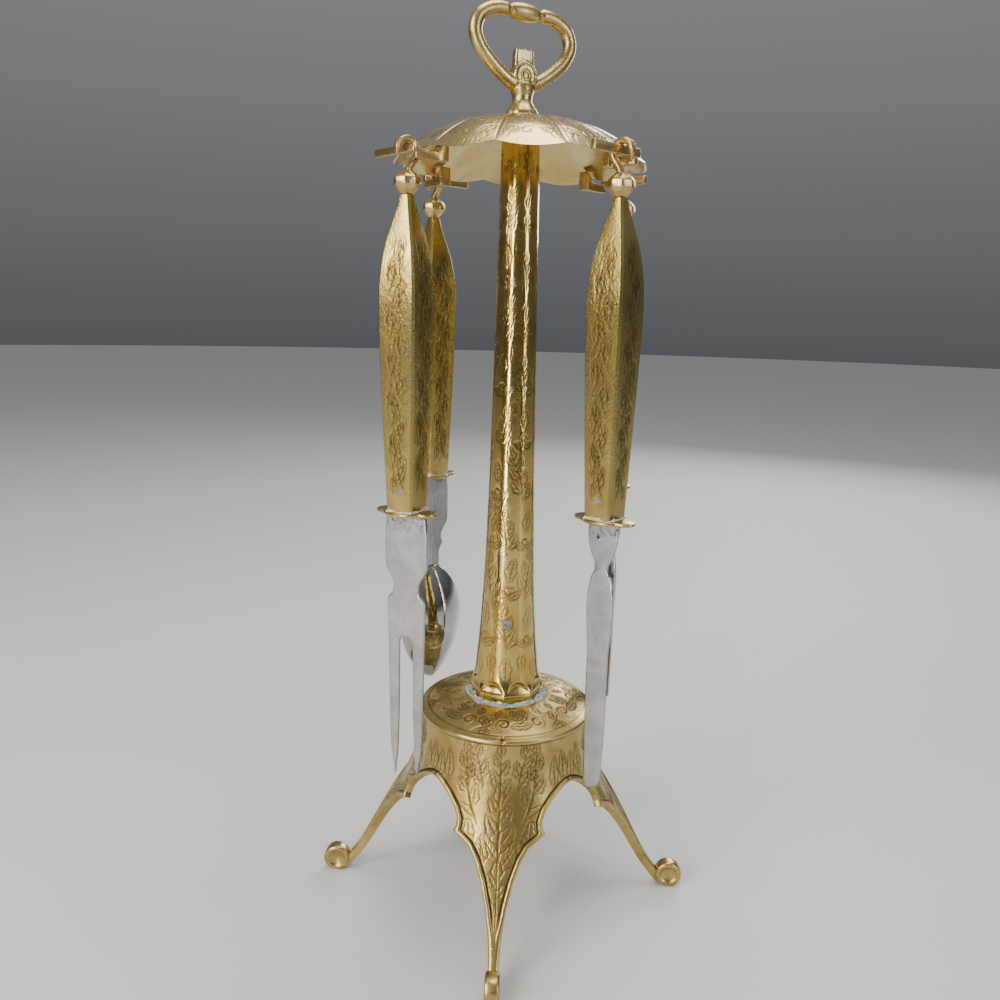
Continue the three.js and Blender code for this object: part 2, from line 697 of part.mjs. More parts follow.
for (const [tool, { place, slid, yaw, end, blade }] of Object.entries(tools)) {
  const bracket = new THREE.Group();
  bracket.rotation.z = rad(hookWays[place]);
  canopyGroup.add(bracket);
  const hung = new THREE.Group();
  hung.position.set(hookReach, -slid, pivotHeight);
  hung.rotation.z = rad(hangerTurn);
  bracket.add(hung);
  add(`${tool}_hanger`, hanger(), paleBrass, hung);
  const group = new THREE.Group();
  group.rotation.z = rad(yaw);
  hung.add(group);
  add(`${tool}_handle`, handle(), agedBrass, group);
  add(`${tool}_guard`, guard(), paleBrass, group);
  add(`${tool}_rivet`, crossPin(rivetRadius, 0, handleEnd + rivetHeight, rivetLength, 12), solder, group);
  add(end, blade(), stainless, group);
}

// ---------- opener: collar, hub with its tooth, and the ring, one casting ----------
// Drawn in the XZ plane with the collar's foot at the origin.

function opener() {
  const collarLine = [
    [0, 0], [collarRadius - 0.3, 0], [collarRadius, 1], [collarRadius - 0.9, 3.8], [4.9, 5.4],
    [4.1, 7.2], [4.2, 9], [5, 11.4], [4.4, 14], [0, 14],
  ];
  const out = openerWidth / 2 - openerBar;
  const top = openerHeight - openerBar;
  const side = [
    [0.16 * out, 13.2], [0.4 * out, 16], [0.67 * out, 20.4], [0.9 * out, 25.6], [out, 31.2], [0.93 * out, 36.3],
    [0.72 * out, 39.6], [0.48 * out, top], [0.3 * out, top],
  ];
  const path = [...side.map(([x, z]) => [-x, z]), ...side.reverse()];
  const beadHalf = 0.28 * out;
  const bar = (t, p) => {
    const slim = p.z > 30 && Math.abs(p.x) < beadHalf + 0.7 ? 0.72 : 1;
    return [openerBar * slim, openerBar * slim];
  };
  const ring = bentBar(path, bar, 36, 8, "y");
  const bead = new THREE.SphereGeometry(1, 10, 6).rotateZ(Math.PI / 2).scale(beadHalf + 0.6, 3.2, 3.5);
  const hub = crossPin(hubRadius, 0, hubHeight, hubDepth, 24);
  const dish = crossPin(hubRadius - hubRim, 0, hubHeight, 1, 24);
  const dishes = [1, -1].map((side) => dish.translate([0, (side * (hubDepth + 0.2)) / 2, 0]));
  const h = toothWidth / 2;
  const tooth = upright([[-h - 0.4, 17], [h + 0.4, 17], [h - 0.3, toothTop], [-h + 0.3, toothTop]], -1.9, 1.9);
  const solid = join(turned(collarLine, 24), ring, toSolid(bead.translate(0, 0, top)), hub, tooth);
  const bore = disc(rodHole, -1, rodTop - collarFoot + 1 + 0.6, 20);
  return solid.subtract(join(bore, ...dishes));
}

const openerGroup = new THREE.Group();
openerGroup.position.z = collarFoot;
openerGroup.rotation.z = rad(openerTurn);
caddy.add(openerGroup);
add("opener_handle", opener(), paleBrass, openerGroup);

export default caddy;
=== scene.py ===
import bpy
import bmesh
import json
import math
import numpy as np
from mathutils import Matrix, Vector


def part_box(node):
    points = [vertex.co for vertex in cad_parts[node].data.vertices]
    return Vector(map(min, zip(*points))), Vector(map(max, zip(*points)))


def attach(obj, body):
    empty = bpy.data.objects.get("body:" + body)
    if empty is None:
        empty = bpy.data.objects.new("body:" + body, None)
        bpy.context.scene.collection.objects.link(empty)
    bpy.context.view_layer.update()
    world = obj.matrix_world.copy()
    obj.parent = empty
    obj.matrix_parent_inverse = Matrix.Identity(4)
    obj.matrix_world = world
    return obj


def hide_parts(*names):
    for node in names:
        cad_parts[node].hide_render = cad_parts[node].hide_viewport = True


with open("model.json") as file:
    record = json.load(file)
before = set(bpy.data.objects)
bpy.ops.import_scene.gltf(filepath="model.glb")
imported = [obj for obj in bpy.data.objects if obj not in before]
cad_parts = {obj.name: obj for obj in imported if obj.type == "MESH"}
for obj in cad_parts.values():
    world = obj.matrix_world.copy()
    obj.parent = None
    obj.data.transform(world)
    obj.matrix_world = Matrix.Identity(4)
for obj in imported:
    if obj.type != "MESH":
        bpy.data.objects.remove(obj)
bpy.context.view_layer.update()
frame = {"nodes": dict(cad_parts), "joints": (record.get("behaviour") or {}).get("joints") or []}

# A brass caddy with four hanging serving tools. Shapes are worked out in millimetres and Z is up.
# Every piece is a numpy surface: rows run along it, columns run round or across it.

mmToMetre = 0.001
turn = 2 * math.pi
dice = np.random.default_rng(7)


def boxMm(node):  # lowest and highest corner of a CAD node, in mm
    low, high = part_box(node)
    return np.array(low) * 1000, np.array(high) * 1000


def linearHex(text):  # sRGB hex to linear colour
    part = np.array([int(text[i:i + 2], 16) / 255 for i in (1, 3, 5)])
    lin = np.where(part <= 0.04045, part / 12.92, ((part + 0.055) / 1.055) ** 2.4)
    return (*lin, 1)


def perMm(size):  # texture scale for a feature of this many millimetres
    return 1000 / size


def smoothStep(x, low, high):  # 0 below low, 1 above high, an S curve between
    s = np.clip((x - low) / (high - low), 0, 1)
    return s * s * (3 - 2 * s)


def smoothLine(points, at):
    # A smooth curve y(x) through the points: cubic pieces whose slopes are the mean of their neighbours'.
    x, y = np.array(points, float).T
    slope = np.diff(y) / np.diff(x)
    lean = np.concatenate([slope[:1], (slope[1:] + slope[:-1]) / 2, slope[-1:]])
    flat = np.concatenate([[False], slope[1:] * slope[:-1] <= 0, [False]])
    lean[flat] = 0
    i = np.clip(np.searchsorted(x, at) - 1, 0, len(x) - 2)
    step = x[i + 1] - x[i]
    s = np.clip((at - x[i]) / step, 0, 1)
    return (y[i] * (1 + 2 * s) * (1 - s) ** 2 + y[i + 1] * s * s * (3 - 2 * s)
            + step * (lean[i] * s * (1 - s) ** 2 - lean[i + 1] * s * s * (1 - s)))


def lumps(points, size, seed):  # smooth bumps from -1 to 1: a sum of sine waves in seeded directions
    rng = np.random.default_rng(seed)
    total = np.zeros(points.shape[:-1])
    for _ in range(9):
        way = rng.normal(size=3)
        way *= turn / (size * rng.uniform(0.7, 1.6)) / np.linalg.norm(way)
        total += np.sin(points @ way + rng.uniform(0, turn))
    return total / 4


def gridFaces(rows, cols, wrapCols=True, wrapRows=False, start=0):
    # Four-sided faces between neighbouring rows and columns; points are numbered row by row.
    r, c = np.meshgrid(np.arange(rows if wrapRows else rows - 1),
                       np.arange(cols if wrapCols else cols - 1), indexing="ij")
    rn, cn = (r + 1) % rows, (c + 1) % cols
    corners = [r * cols + c, r * cols + cn, rn * cols + cn, rn * cols + c]
    return np.stack(corners, -1).reshape(-1, 4) + start


def grid(points, wrapRows=False, wrapCols=True, caps=True):
    # One skin of rows and columns; open ends close on a point in the middle of the end row.
    rows, cols = points.shape[:2]
    flat = points.reshape(-1, 3)
    quads = gridFaces(rows, cols, wrapCols, wrapRows)
    tris = np.zeros((0, 3), int)
    if caps and wrapCols and not wrapRows:
        ends = np.stack([points[0].mean(0), points[-1].mean(0)])
        k = np.arange(cols)
        kn = (k + 1) % cols
        n = len(flat)
        low = np.stack([np.full(cols, n), kn, k], -1)
        last = (rows - 1) * cols
        high = np.stack([np.full(cols, n + 1), last + k, last + kn], -1)
        flat = np.concatenate([flat, ends])
        tris = np.concatenate([low, high])
    return flat, quads, tris


def joined(*skins):  # several skins in one mesh
    points, quads, tris, at = [], [], [], 0
    for p, q, t in skins:
        points.append(p)
        quads.append(q + at)
        tris.append(t + at)
        at += len(p)
    return np.concatenate(points), np.concatenate(quads), np.concatenate(tris)


def makeMesh(name, skin, marks=None, sharp=None):
    points, quads, tris = skin
    mesh = bpy.data.meshes.new(name)
    mesh.vertices.add(len(points))
    mesh.vertices.foreach_set("co", (points * mmToMetre).astype(np.float32).ravel())
    corners = np.concatenate([quads.ravel(), tris.ravel()]).astype(np.int32)
    starts = np.concatenate([np.arange(len(quads)) * 4, len(quads) * 4 + np.arange(len(tris)) * 3])
    mesh.loops.add(len(corners))
    mesh.loops.foreach_set("vertex_index", corners)
    mesh.polygons.add(len(starts))
    mesh.polygons.foreach_set("loop_start", starts.astype(np.int32))
    for key, values in (marks or {}).items():
        full = np.zeros(len(points), np.float32)
        full[:values.size] = values.ravel()
        mesh.attributes.new(key, "FLOAT", "POINT").data.foreach_set("value", full)
    mesh.update(calc_edges=True)
    mesh.validate()
    mesh.shade_smooth()
    if sharp:
        mesh.set_sharp_from_angle(angle=math.radians(sharp))
    return mesh


def addPiece(name, mesh, material, body, replaced=()):
    piece = bpy.data.objects.new(name, mesh)
    bpy.context.scene.collection.objects.link(piece)
    piece.data.materials.append(material)
    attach(piece, body)
    if replaced:
        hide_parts(*replaced)
    return piece


def weld(mesh, distance):  # merges doubled points, in mm
    work = bmesh.new()
    work.from_mesh(mesh)
    bmesh.ops.remove_doubles(work, verts=work.verts, dist=distance * mmToMetre)
    bmesh.ops.recalc_face_normals(work, faces=work.faces)
    work.to_mesh(mesh)
    work.free()


def turnedGrid(line, angles, sink=0):
    # The line's points [radius, height] turned round Z; sink moves each point in along the line's normal.
    step = np.gradient(line, axis=0)
    normal = np.stack([step[:, 1], -step[:, 0]], -1)
    normal /= np.maximum(np.linalg.norm(normal, axis=1, keepdims=True), 1e-9)
    r = line[:, :1] - normal[:, :1] * sink
    z = line[:, 1:] - normal[:, 1:] * sink
    r, z = np.broadcast_arrays(r, z + 0 * angles[None])
    return np.stack([r * np.cos(angles), r * np.sin(angles), z], -1)


def sweptTube(path, thick, wide, side, sides, square=2.0):
    # A section carried along a path: a superellipse of the given power, thick across the bend and wide
    # along side.
    step = np.gradient(path, axis=0)
    step /= np.linalg.norm(step, axis=1, keepdims=True)
    side = np.broadcast_to(np.array(side, float), step.shape)
    up = np.cross(side, step)
    a = np.arange(sides) / sides * turn
    c = np.sign(np.cos(a)) * np.abs(np.cos(a)) ** (2 / square)
    s = np.sign(np.sin(a)) * np.abs(np.sin(a)) ** (2 / square)
    thick, wide = (np.broadcast_to(v, len(path))[:, None, None] for v in (thick, wide))
    raised = up[:, None] * c[None, :, None] * thick
    return path[:, None] + raised + side[:, None] * s[None, :, None] * wide


def spun(points, degrees, at=(0, 0, 0)):  # turned about Z, then shifted
    a = math.radians(degrees)
    turned = np.array([[math.cos(a), -math.sin(a), 0], [math.sin(a), math.cos(a), 0], [0, 0, 1]])
    return points @ turned.T + np.array(at)


def arcLength(line):  # how far along the line each of its points is
    return np.concatenate([[0], np.cumsum(np.linalg.norm(np.diff(line, axis=0), axis=1))])


# Engraving is made of graver strokes laid on a surface. A stroke is (points, half width, depth), drawn in
# mm with x across and y along the surface. A cut of fullCut mm or deeper holds all the grime it can.
fullCut = 0.2


def stroke(x, y, half=0.42, depth=0.2):
    return np.stack(np.broadcast_arrays(np.asarray(x, float), np.asarray(y, float)), -1), half, depth


def moved(strokes, x=0.0, y=0.0, degrees=0.0, size=1.0, mirror=1):  # sized, turned, then shifted
    a = math.radians(degrees)
    c, s = math.cos(a), math.sin(a)
    out = []
    for p, half, depth in strokes:
        px, py = p[:, 0] * mirror * size, p[:, 1] * size
        out.append((np.stack([x + px * c - py * s, y + px * s + py * c], -1), half, depth))
    return out


def leaf(length, width, veins=5, bend=0.0, lobes=3, half=0.42):
    # A leaf that points along +y: its outline is a sine bulge with small lobes, its veins are slanted.
    s = np.linspace(0, 1, 11)
    bow = bend * length * s * s
    edge = width / 2 * np.sin(math.pi * s ** 0.85) * (1 + 0.16 * np.sin(turn * lobes * s))
    cuts = [stroke(bow, s * length * 0.94, half)]
    cuts += [stroke(bow + hand * edge, s * length, half) for hand in (1, -1)]
    for i in range(veins):
        at = 0.16 + 0.62 * i / max(veins - 1, 1)
        reach = width / 2 * math.sin(math.pi * at ** 0.85) * 0.8
        t = np.linspace(0, 1, 4)
        for hand in (1, -1):
            cuts.append(stroke(bend * length * at * at + hand * reach * t,
                               length * at + reach * 1.05 * t, half * 0.62, 0.13))
    return cuts


def spray(length, pairs, leafLength, leafWidth, bend=0.0, spread=42, veins=4, tip=True):
    # A curved stem with leaves on alternate sides, shorter towards the tip.
    s = np.linspace(0, 1, 14)
    cuts = [stroke(bend * length * s * s, length * s, 0.5, 0.22)]
    for i in range(pairs):
        for k, hand in enumerate((1, -1)):
            at = (i + 0.35 + 0.42 * k) / (pairs + 0.2)
            lean = math.degrees(math.atan(2 * bend * at))
            size = 1 - 0.35 * at
            one = leaf(leafLength * size, leafWidth * size, veins, 0.16)
            cuts += moved(one, bend * length * at * at, length * at, -lean - hand * spread, mirror=-hand)
    if tip:
        lean = math.degrees(math.atan(2 * bend))
        cuts += moved(leaf(leafLength * 0.8, leafWidth * 0.8, veins), bend * length, length * 0.97, -lean)
    return cuts


def scroll(radius, turns=1.4, hand=1):
    # A spiral that closes in from its rim, with short hairs outside it.
    t = np.linspace(0, 1, 22)
    r = radius * (1 - 0.82 * t)
    a = hand * t * turns * turn
    cuts = [stroke(r * np.cos(a), r * np.sin(a), 0.48, 0.22)]
    for k in range(7):
        b = hand * (0.3 + 0.33 * k)
        d = np.array([0.98, 1.32])
        cuts.append(stroke(radius * d * math.cos(b), radius * d * math.sin(b + hand * 0.05), 0.3, 0.14))
    return cuts


def chevrons(length, width, step):  # a column of nested V cuts
    return [stroke([-width / 2, 0, width / 2], [y, y + width * 0.4, y], 0.4, 0.17)
            for y in np.arange(0, length, step)]


def laid(strokes, across, along, radius=1.0):  # where radius isn't 1, across is an angle
    return [(p / [radius, 1] + [across, along], half, depth) for p, half, depth in strokes]


def engraved(strokes, across, radius, along, reach=1.0):
    # How deep each grid point is cut: for each stroke, depth times one less the squared share of the way
    # from its line to its edge; the cut narrows to a point at both ends. Deepest stroke wins.
    cut = np.zeros(across.shape)
    for p, half, depth in strokes:
        low, high = p.min(0), p.max(0)
        rows = np.where((along > low[1] - reach) & (along < high[1] + reach))[0]
        if len(rows) == 0:
            continue
        r0, r1 = rows.min(), rows.max() + 1
        pad = reach / radius[r0:r1].min()
        block = across[r0:r1]
        cols = np.where((block.max(0) > low[0] - pad) & (block.min(0) < high[0] + pad))[0]
        if len(cols) == 0:
            continue
        c0, c1 = cols.min(), cols.max() + 1
        scale = radius[r0:r1][:, None, None]
        x = block[:, c0:c1, None] * scale
        y = along[r0:r1][:, None, None]
        ax, ay = p[None, None, :-1, 0] * scale, p[None, None, :-1, 1]
        bx, by = p[None, None, 1:, 0] * scale, p[None, None, 1:, 1]
        dx, dy = bx - ax, by - ay
        s = np.clip(((x - ax) * dx + (y - ay) * dy) / (dx * dx + dy * dy + 1e-9), 0, 1)
        away = np.hypot(x - ax - s * dx, y - ay - s * dy)
        whole = (np.arange(len(p) - 1) + s) / (len(p) - 1)
        taper = np.sqrt(np.clip(4 * whole * (1 - whole), 0.03, 1))
        deep = depth * taper * np.clip(1 - (away / (half * (0.35 + 0.65 * taper))) ** 2, 0, 1)
        cut[r0:r1, c0:c1] = np.maximum(cut[r0:r1, c0:c1], deep.max(-1))
    return cut


def addNode(tree, kind, settings, output=0):
    # Adds a node and returns one of its outputs. A setting that is a socket becomes a link, one named as
    # a property of the node sets that property, and any other is the value of an input.
    node = tree.nodes.new("ShaderNode" + kind)
    for key, value in settings.items():
        if isinstance(value, bpy.types.NodeSocket):
            tree.links.new(value, node.inputs[key])
        elif isinstance(key, str) and hasattr(node, key):
            setattr(node, key, value)
        else:
            node.inputs[key].default_value = value
    return node.outputs[output] if node.outputs else None


def newMaterial(name):
    material = bpy.data.materials.new(name)
    material.use_nodes = True
    tree = material.node_tree
    tree.nodes.clear()
    return material, tree, addNode(tree, "TexCoord", {}, "Object")


def brass(name, look):
    # Cast or sheet brass, engraved by hand, then rubbed: bright high spots, brown grime in every cut.
    material, tree, place = newMaterial(name)
    pale, warm, dull, grime = (linearHex(look[k]) for k in ("body", "warm", "dull", "grime"))
    cut = addNode(tree, "Attribute", {"attribute_name": "cut"}, "Fac")
    clouds = addNode(tree, "TexNoise",
                     {"Vector": place, "Scale": perMm(look["cloudSize"]), "Detail": 5.0,
                      "Distortion": 0.6})
    cloudy = addNode(tree, "MapRange", {0: clouds, 1: 0.35, 2: 0.65})
    body = addNode(tree, "Mix", {"data_type": "RGBA", 0: cloudy, 6: pale, 7: warm}, 2)
    blotch = addNode(tree, "TexNoise",
                     {"Vector": place, "Scale": perMm(look["blotchSize"]), "Detail": 6.0,
                      "Distortion": 1.2})
    tarnish = addNode(tree, "MapRange", {0: blotch, 1: 0.56, 2: 0.72, 4: look["tarnish"]})
    body = addNode(tree, "Mix", {"data_type": "RGBA", 0: tarnish, 6: body, 7: dull}, 2)
    fine = addNode(tree, "TexNoise", {"Vector": place, "Scale": perMm(0.55)})
    pits = addNode(tree, "MapRange", {0: fine, 1: 0.62, 2: 0.8, 4: look["pits"]})
    dirt = addNode(tree, "Math",
                   {"operation": "MULTIPLY_ADD", "use_clamp": True,
                    0: cut, 1: look["grimeInCuts"], 2: pits})
    colour = addNode(tree, "Mix", {"data_type": "RGBA", 0: dirt, 6: body, 7: grime}, 2)
    low, high = look["rough"]
    rough = addNode(tree, "MapRange", {0: clouds, 1: 0.3, 2: 0.7, 3: low, 4: high})
    for layer, more in ((dirt, 0.22), (tarnish, 0.16)):
        rough = addNode(tree, "Math",
                        {"operation": "MULTIPLY_ADD", "use_clamp": True, 0: layer, 1: more, 2: rough})
    rubbed = addNode(tree, "Mapping", {"Vector": place, "Scale": look["brushed"]})
    scratches = addNode(tree, "TexNoise", {"Vector": rubbed, "Scale": perMm(0.5), "Distortion": 0.2})
    grain = addNode(tree, "TexNoise",
                    {"Vector": place, "Scale": perMm(look["grainSize"]), "Detail": 3.0})
    height = addNode(tree, "Math", {"operation": "MULTIPLY_ADD", 0: scratches, 1: 0.45, 2: grain})
    bump = addNode(tree, "Bump", {"Strength": look["grain"], "Distance": 0.0004, "Height": height})
    shader = addNode(tree, "BsdfPrincipled",
                     {"Metallic": 1.0, "Base Color": colour, "Roughness": rough, "Normal": bump})
    addNode(tree, "OutputMaterial", {"Surface": shader})
    return material


castBrassLook = {"body": "#bfa96c", "warm": "#a89152", "dull": "#7a683b", "grime": "#3b2c16",
                 "cloudSize": 16, "blotchSize": 9, "tarnish": 0.5, "grimeInCuts": 0.85, "pits": 0.3,
                 "rough": (0.24, 0.36), "brushed": (1, 1, 0.12), "grainSize": 1.1, "grain": 0.22}
rolledBrassLook = {**castBrassLook, "body": "#d4bf86", "warm": "#c2a96c", "dull": "#978150",
                   "rough": (0.17, 0.28), "tarnish": 0.3, "grain": 0.1, "cloudSize": 22}


def stainlessSteel(name, look):
    # Cheap polished stainless: a grey mirror with fine grinding lines along it, pinholes, and rust at the
    # guard.
    material, tree, place = newMaterial(name)
    body, shade, pit, brown = (linearHex(look[k]) for k in ("body", "shade", "pit", "rust"))
    height = addNode(tree, "SeparateXYZ", {0: place}, 2)
    clouds = addNode(tree, "TexNoise",
                     {"Vector": place, "Scale": perMm(14), "Detail": 5.0, "Distortion": 0.8})
    cloudy = addNode(tree, "MapRange", {0: clouds, 1: 0.35, 2: 0.65})
    colour = addNode(tree, "Mix", {"data_type": "RGBA", 0: cloudy, 6: body, 7: shade}, 2)
    specks = addNode(tree, "TexVoronoi", {"Vector": place, "Scale": perMm(2.6)})
    pits = addNode(tree, "MapRange", {0: specks, 1: 0.06, 2: 0.14, 3: 1.0, 4: 0.0})
    colour = addNode(tree, "Mix", {"data_type": "RGBA", 0: pits, 6: colour, 7: pit}, 2)
    wander = addNode(tree, "TexNoise",
                     {"Vector": place, "Scale": perMm(3.2), "Detail": 5.0, "Distortion": 1.5})
    ragged = addNode(tree, "Math", {"operation": "MULTIPLY_ADD", 0: wander, 1: 0.022, 2: height})
    start = look["rustFrom"] * mmToMetre
    rust = addNode(tree, "MapRange", {0: ragged, 1: start, 2: start + 0.009})
    patches = addNode(tree, "TexNoise", {"Vector": place, "Scale": perMm(1.4), "Detail": 4.0})
    patchy = addNode(tree, "MapRange", {0: patches, 1: 0.46, 2: 0.62})
    rust = addNode(tree, "Math", {"operation": "MULTIPLY", 0: rust, 1: patchy})
    colour = addNode(tree, "Mix", {"data_type": "RGBA", 0: rust, 6: colour, 7: brown}, 2)
    ground = addNode(tree, "Mapping", {"Vector": place, "Scale": (1, 1, 0.05)})
    grind = addNode(tree, "TexNoise", {"Vector": ground, "Scale": perMm(0.6), "Detail": 3.0})
    low, high = look["rough"]
    rough = addNode(tree, "MapRange", {0: grind, 1: 0.3, 2: 0.7, 3: low, 4: high})
    rough = addNode(tree, "Math",
                    {"operation": "MULTIPLY_ADD", "use_clamp": True, 0: rust, 1: 0.4, 2: rough})
    lines = addNode(tree, "Math", {"operation": "MULTIPLY_ADD", 0: pits, 1: -0.6, 2: grind})
    bump = addNode(tree, "Bump", {"Strength": 0.1, "Distance": 0.0003, "Height": lines})
    shader = addNode(tree, "BsdfPrincipled",
                     {"Metallic": 1.0, "Base Color": colour, "Roughness": rough, "Normal": bump})
    addNode(tree, "OutputMaterial", {"Surface": shader})
    return material


def crust(name, look):
    # Dried flux and copper salts: a matt crumbly crust, pale on its high grains and dark between them.
    material, tree, place = newMaterial(name)
    deep, pale, stain = (linearHex(look[k]) for k in ("deep", "pale", "stain"))
    grains = addNode(tree, "TexNoise",
                     {"Vector": place, "Scale": perMm(0.9), "Detail": 6.0, "Distortion": 0.8})
    high = addNode(tree, "MapRange", {0: grains, 1: 0.36, 2: 0.52})
    colour = addNode(tree, "Mix", {"data_type": "RGBA", 0: high, 6: deep, 7: pale}, 2)
    patches = addNode(tree, "TexNoise", {"Vector": place, "Scale": perMm(3.5), "Detail": 4.0})
    stained = addNode(tree, "MapRange", {0: patches, 1: 0.47, 2: 0.62})
    colour = addNode(tree, "Mix", {"data_type": "RGBA", 0: stained, 6: colour, 7: stain}, 2)
    bump = addNode(tree, "Bump", {"Strength": 0.9, "Distance": 0.0006, "Height": grains})
    shader = addNode(tree, "BsdfPrincipled",
                     {"Metallic": 0.0, "Roughness": 0.85, "Base Color": colour, "Normal": bump})
    addNode(tree, "OutputMaterial", {"Surface": shader})
    return material


# Sand-cast and hand-rubbed: soft broad highlights over a slightly lumpy skin.
castBrass = brass("cast_brass", castBrassLook)
# Cast and turned: a little brighter than the legs.
plateBrass = brass("plate_brass", {**castBrassLook, "body": "#c6b074", "warm": "#b0985a",
                                   "rough": (0.26, 0.38)})
# Drawn tube, buffed: the brightest brass, with long sharp reflections.
postBrass = brass("polished_tube_brass", {**rolledBrassLook, "body": "#d6bd76", "warm": "#c2a257",
                                          "rough": (0.09, 0.18), "tarnish": 0.2, "grain": 0.06,
                                          "grimeInCuts": 0.7})
# Pressed sheet: smooth and pale, with shallow brown cuts.
canopyBrass = brass("pressed_sheet_brass", {**rolledBrassLook, "grimeInCuts": 0.6})
# Folded sheet, handled and dulled: olive, with dark grime in every cut.
handleBrass = brass("folded_sheet_brass", {**castBrassLook, "body": "#bba766", "warm": "#a39050",
                                           "grimeInCuts": 1.0, "rough": (0.2, 0.32), "tarnish": 0.35})
# Small rough castings: pale and satin, with pits.
fittingBrass = brass("cast_fitting_brass", {**rolledBrassLook, "body": "#c9b178", "warm": "#b0965e",
                                            "rough": (0.24, 0.36), "pits": 0.45, "grain": 0.24})
# Bright stainless: near-mirror, rusty only by the guard.
bladeSteel = stainlessSteel("polished_stainless", {
    "body": "#bfbdbb", "shade": "#a8a5a3", "pit": "#6a6460", "rust": "#4a2c16", "rustFrom": 198,
    "rough": (0.03, 0.08)})
# Zinc-plated mild steel: dull grey, rust over most of it.
rodSteel = stainlessSteel("plated_mild_steel", {
    "body": "#8f9193", "shade": "#76787a", "pit": "#4c4238", "rust": "#5a3a20", "rustFrom": 80,
    "rough": (0.34, 0.5)})
# Crumbly salts and solder: matt, pale grains over grey-green, grey-brown or lead-grey.
verdigris = crust("verdigris_crust", {"pale": "#cfd8cf", "deep": "#5c6a5f", "stain": "#8fa39c"})
fluxCrust = crust("solder_flux_crust", {"pale": "#dcdad2", "deep": "#5d584e", "stain": "#b3afa4"})
solderGrey = crust("soft_solder", {"pale": "#9a968c", "deep": "#5b564d", "stain": "#7d786e"})
print("materials ready")


# the base casting: skirt, four legs, bead and scroll feet
base = {
    "footCircle": 82.8, "scrollRadius": 6.4, "scrollWidth": 6.2, "scrollWear": 0.25,
    "topRadius": 39.6, "top": 91, "wall": 2.4, "strapWall": 3.4,
    "beadWidth": 2.3, "beadHeight": 0.75, "archCrown": 0.775,
    # the skirt's line from its top edge to the toe: how far out and how high, as shares
    "line": [(0, 1), (0.02, 0.915), (0.07, 0.79), (0.18, 0.655), (0.257, 0.577), (0.364, 0.495),
             (0.505, 0.385), (0.663, 0.253), (0.8, 0.152), (0.926, 0.079), (1, 0.04)],
    # half of one leg from the toe up: height as a share, half width in mm
    "leg": [(0.0, 2.25), (0.12, 2.25), (0.21, 3), (0.313, 4.7), (0.412, 7.2), (0.49, 10.2), (0.537, 13.2),
            (0.562, 17), (0.58, 20.4), (0.604, 19.1), (0.637, 18.8), (0.68, 20.3), (0.726, 23.6),
            (0.758, 27)],
    "panelRows": 150, "strapRows": 20, "columns": 113, "insideColumns": 13,
}


def skirtRadius(z):  # the skirt's outer radius at a height
    toe = base["footCircle"] - 0.45 * base["scrollRadius"]
    out = smoothLine([(up, share) for share, up in reversed(base["line"])], z / base["top"])
    return base["topRadius"] + (toe - base["topRadius"]) * out


def legHalfWidth(z):  # half a leg's width at a height; above the arches legs meet at 45 degrees
    crown = base["top"] * base["archCrown"]
    seam = skirtRadius(z) * math.sqrt(0.5)
    points = [(up * base["top"], w) for up, w in base["leg"]]
    points.append((crown, float(skirtRadius(np.array(crown))) * 0.7071))
    heights, widths = np.array(points).T
    return np.where(z >= crown, seam, np.minimum(np.interp(z, heights, widths), seam))


def legStrokes():
    # One leg's engraving, centred on the leg: x across, y along the slope with 0 at the top edge.
    cuts = moved(spray(34, 3, 11, 5.4, 0, 36), 0, -90)
    cuts += moved(spray(30, 3, 14, 7, 0, 44, 5), 0, -56)
    cuts += moved(spray(21, 2, 11, 5.6, 0, 40, 5), 0, -26)
    for hand in (1, -1):
        cuts += moved(spray(33, 3, 13, 6.4, 0.16, 40, 5), hand * 3, -58, -hand * 30, mirror=hand)
        cuts += moved(spray(26, 2, 12, 6, -0.16, 42, 5), hand * 9.5, -36, -hand * 34, mirror=hand)
        cuts += moved(spray(20, 2, 11, 5.2, 0.14, 38, 4), hand * 8.5, -22, -hand * 10, mirror=hand)
        cuts += moved(spray(18, 2, 10, 5, -0.1, 38, 4), hand * 16.5, -23, -hand * 16, mirror=hand)
        cuts += moved(leaf(14, 6.4, 6, 0.2), hand * 4, -60, -hand * 112, mirror=hand)
        cuts += moved(leaf(13, 6, 6, -0.15), hand * 9.5, -47, -hand * 146, mirror=hand)
        cuts += moved(leaf(11, 5, 5), hand * 5.5, -66, -hand * 40)
        cuts += moved(scroll(3, 1.3, hand), hand * 12, -41, 20)
    return cuts


def seamStrokes():  # long upright leaves over each arch
    cuts = []
    for k, x in enumerate((-7.5, -2.5, 2.5, 7.5)):
        cuts += moved(leaf(17, 4.6, 5, 0.1 * (-1) ** k), x, -23 + 2 * (k % 2), 4 * (-1) ** k)
    return cuts


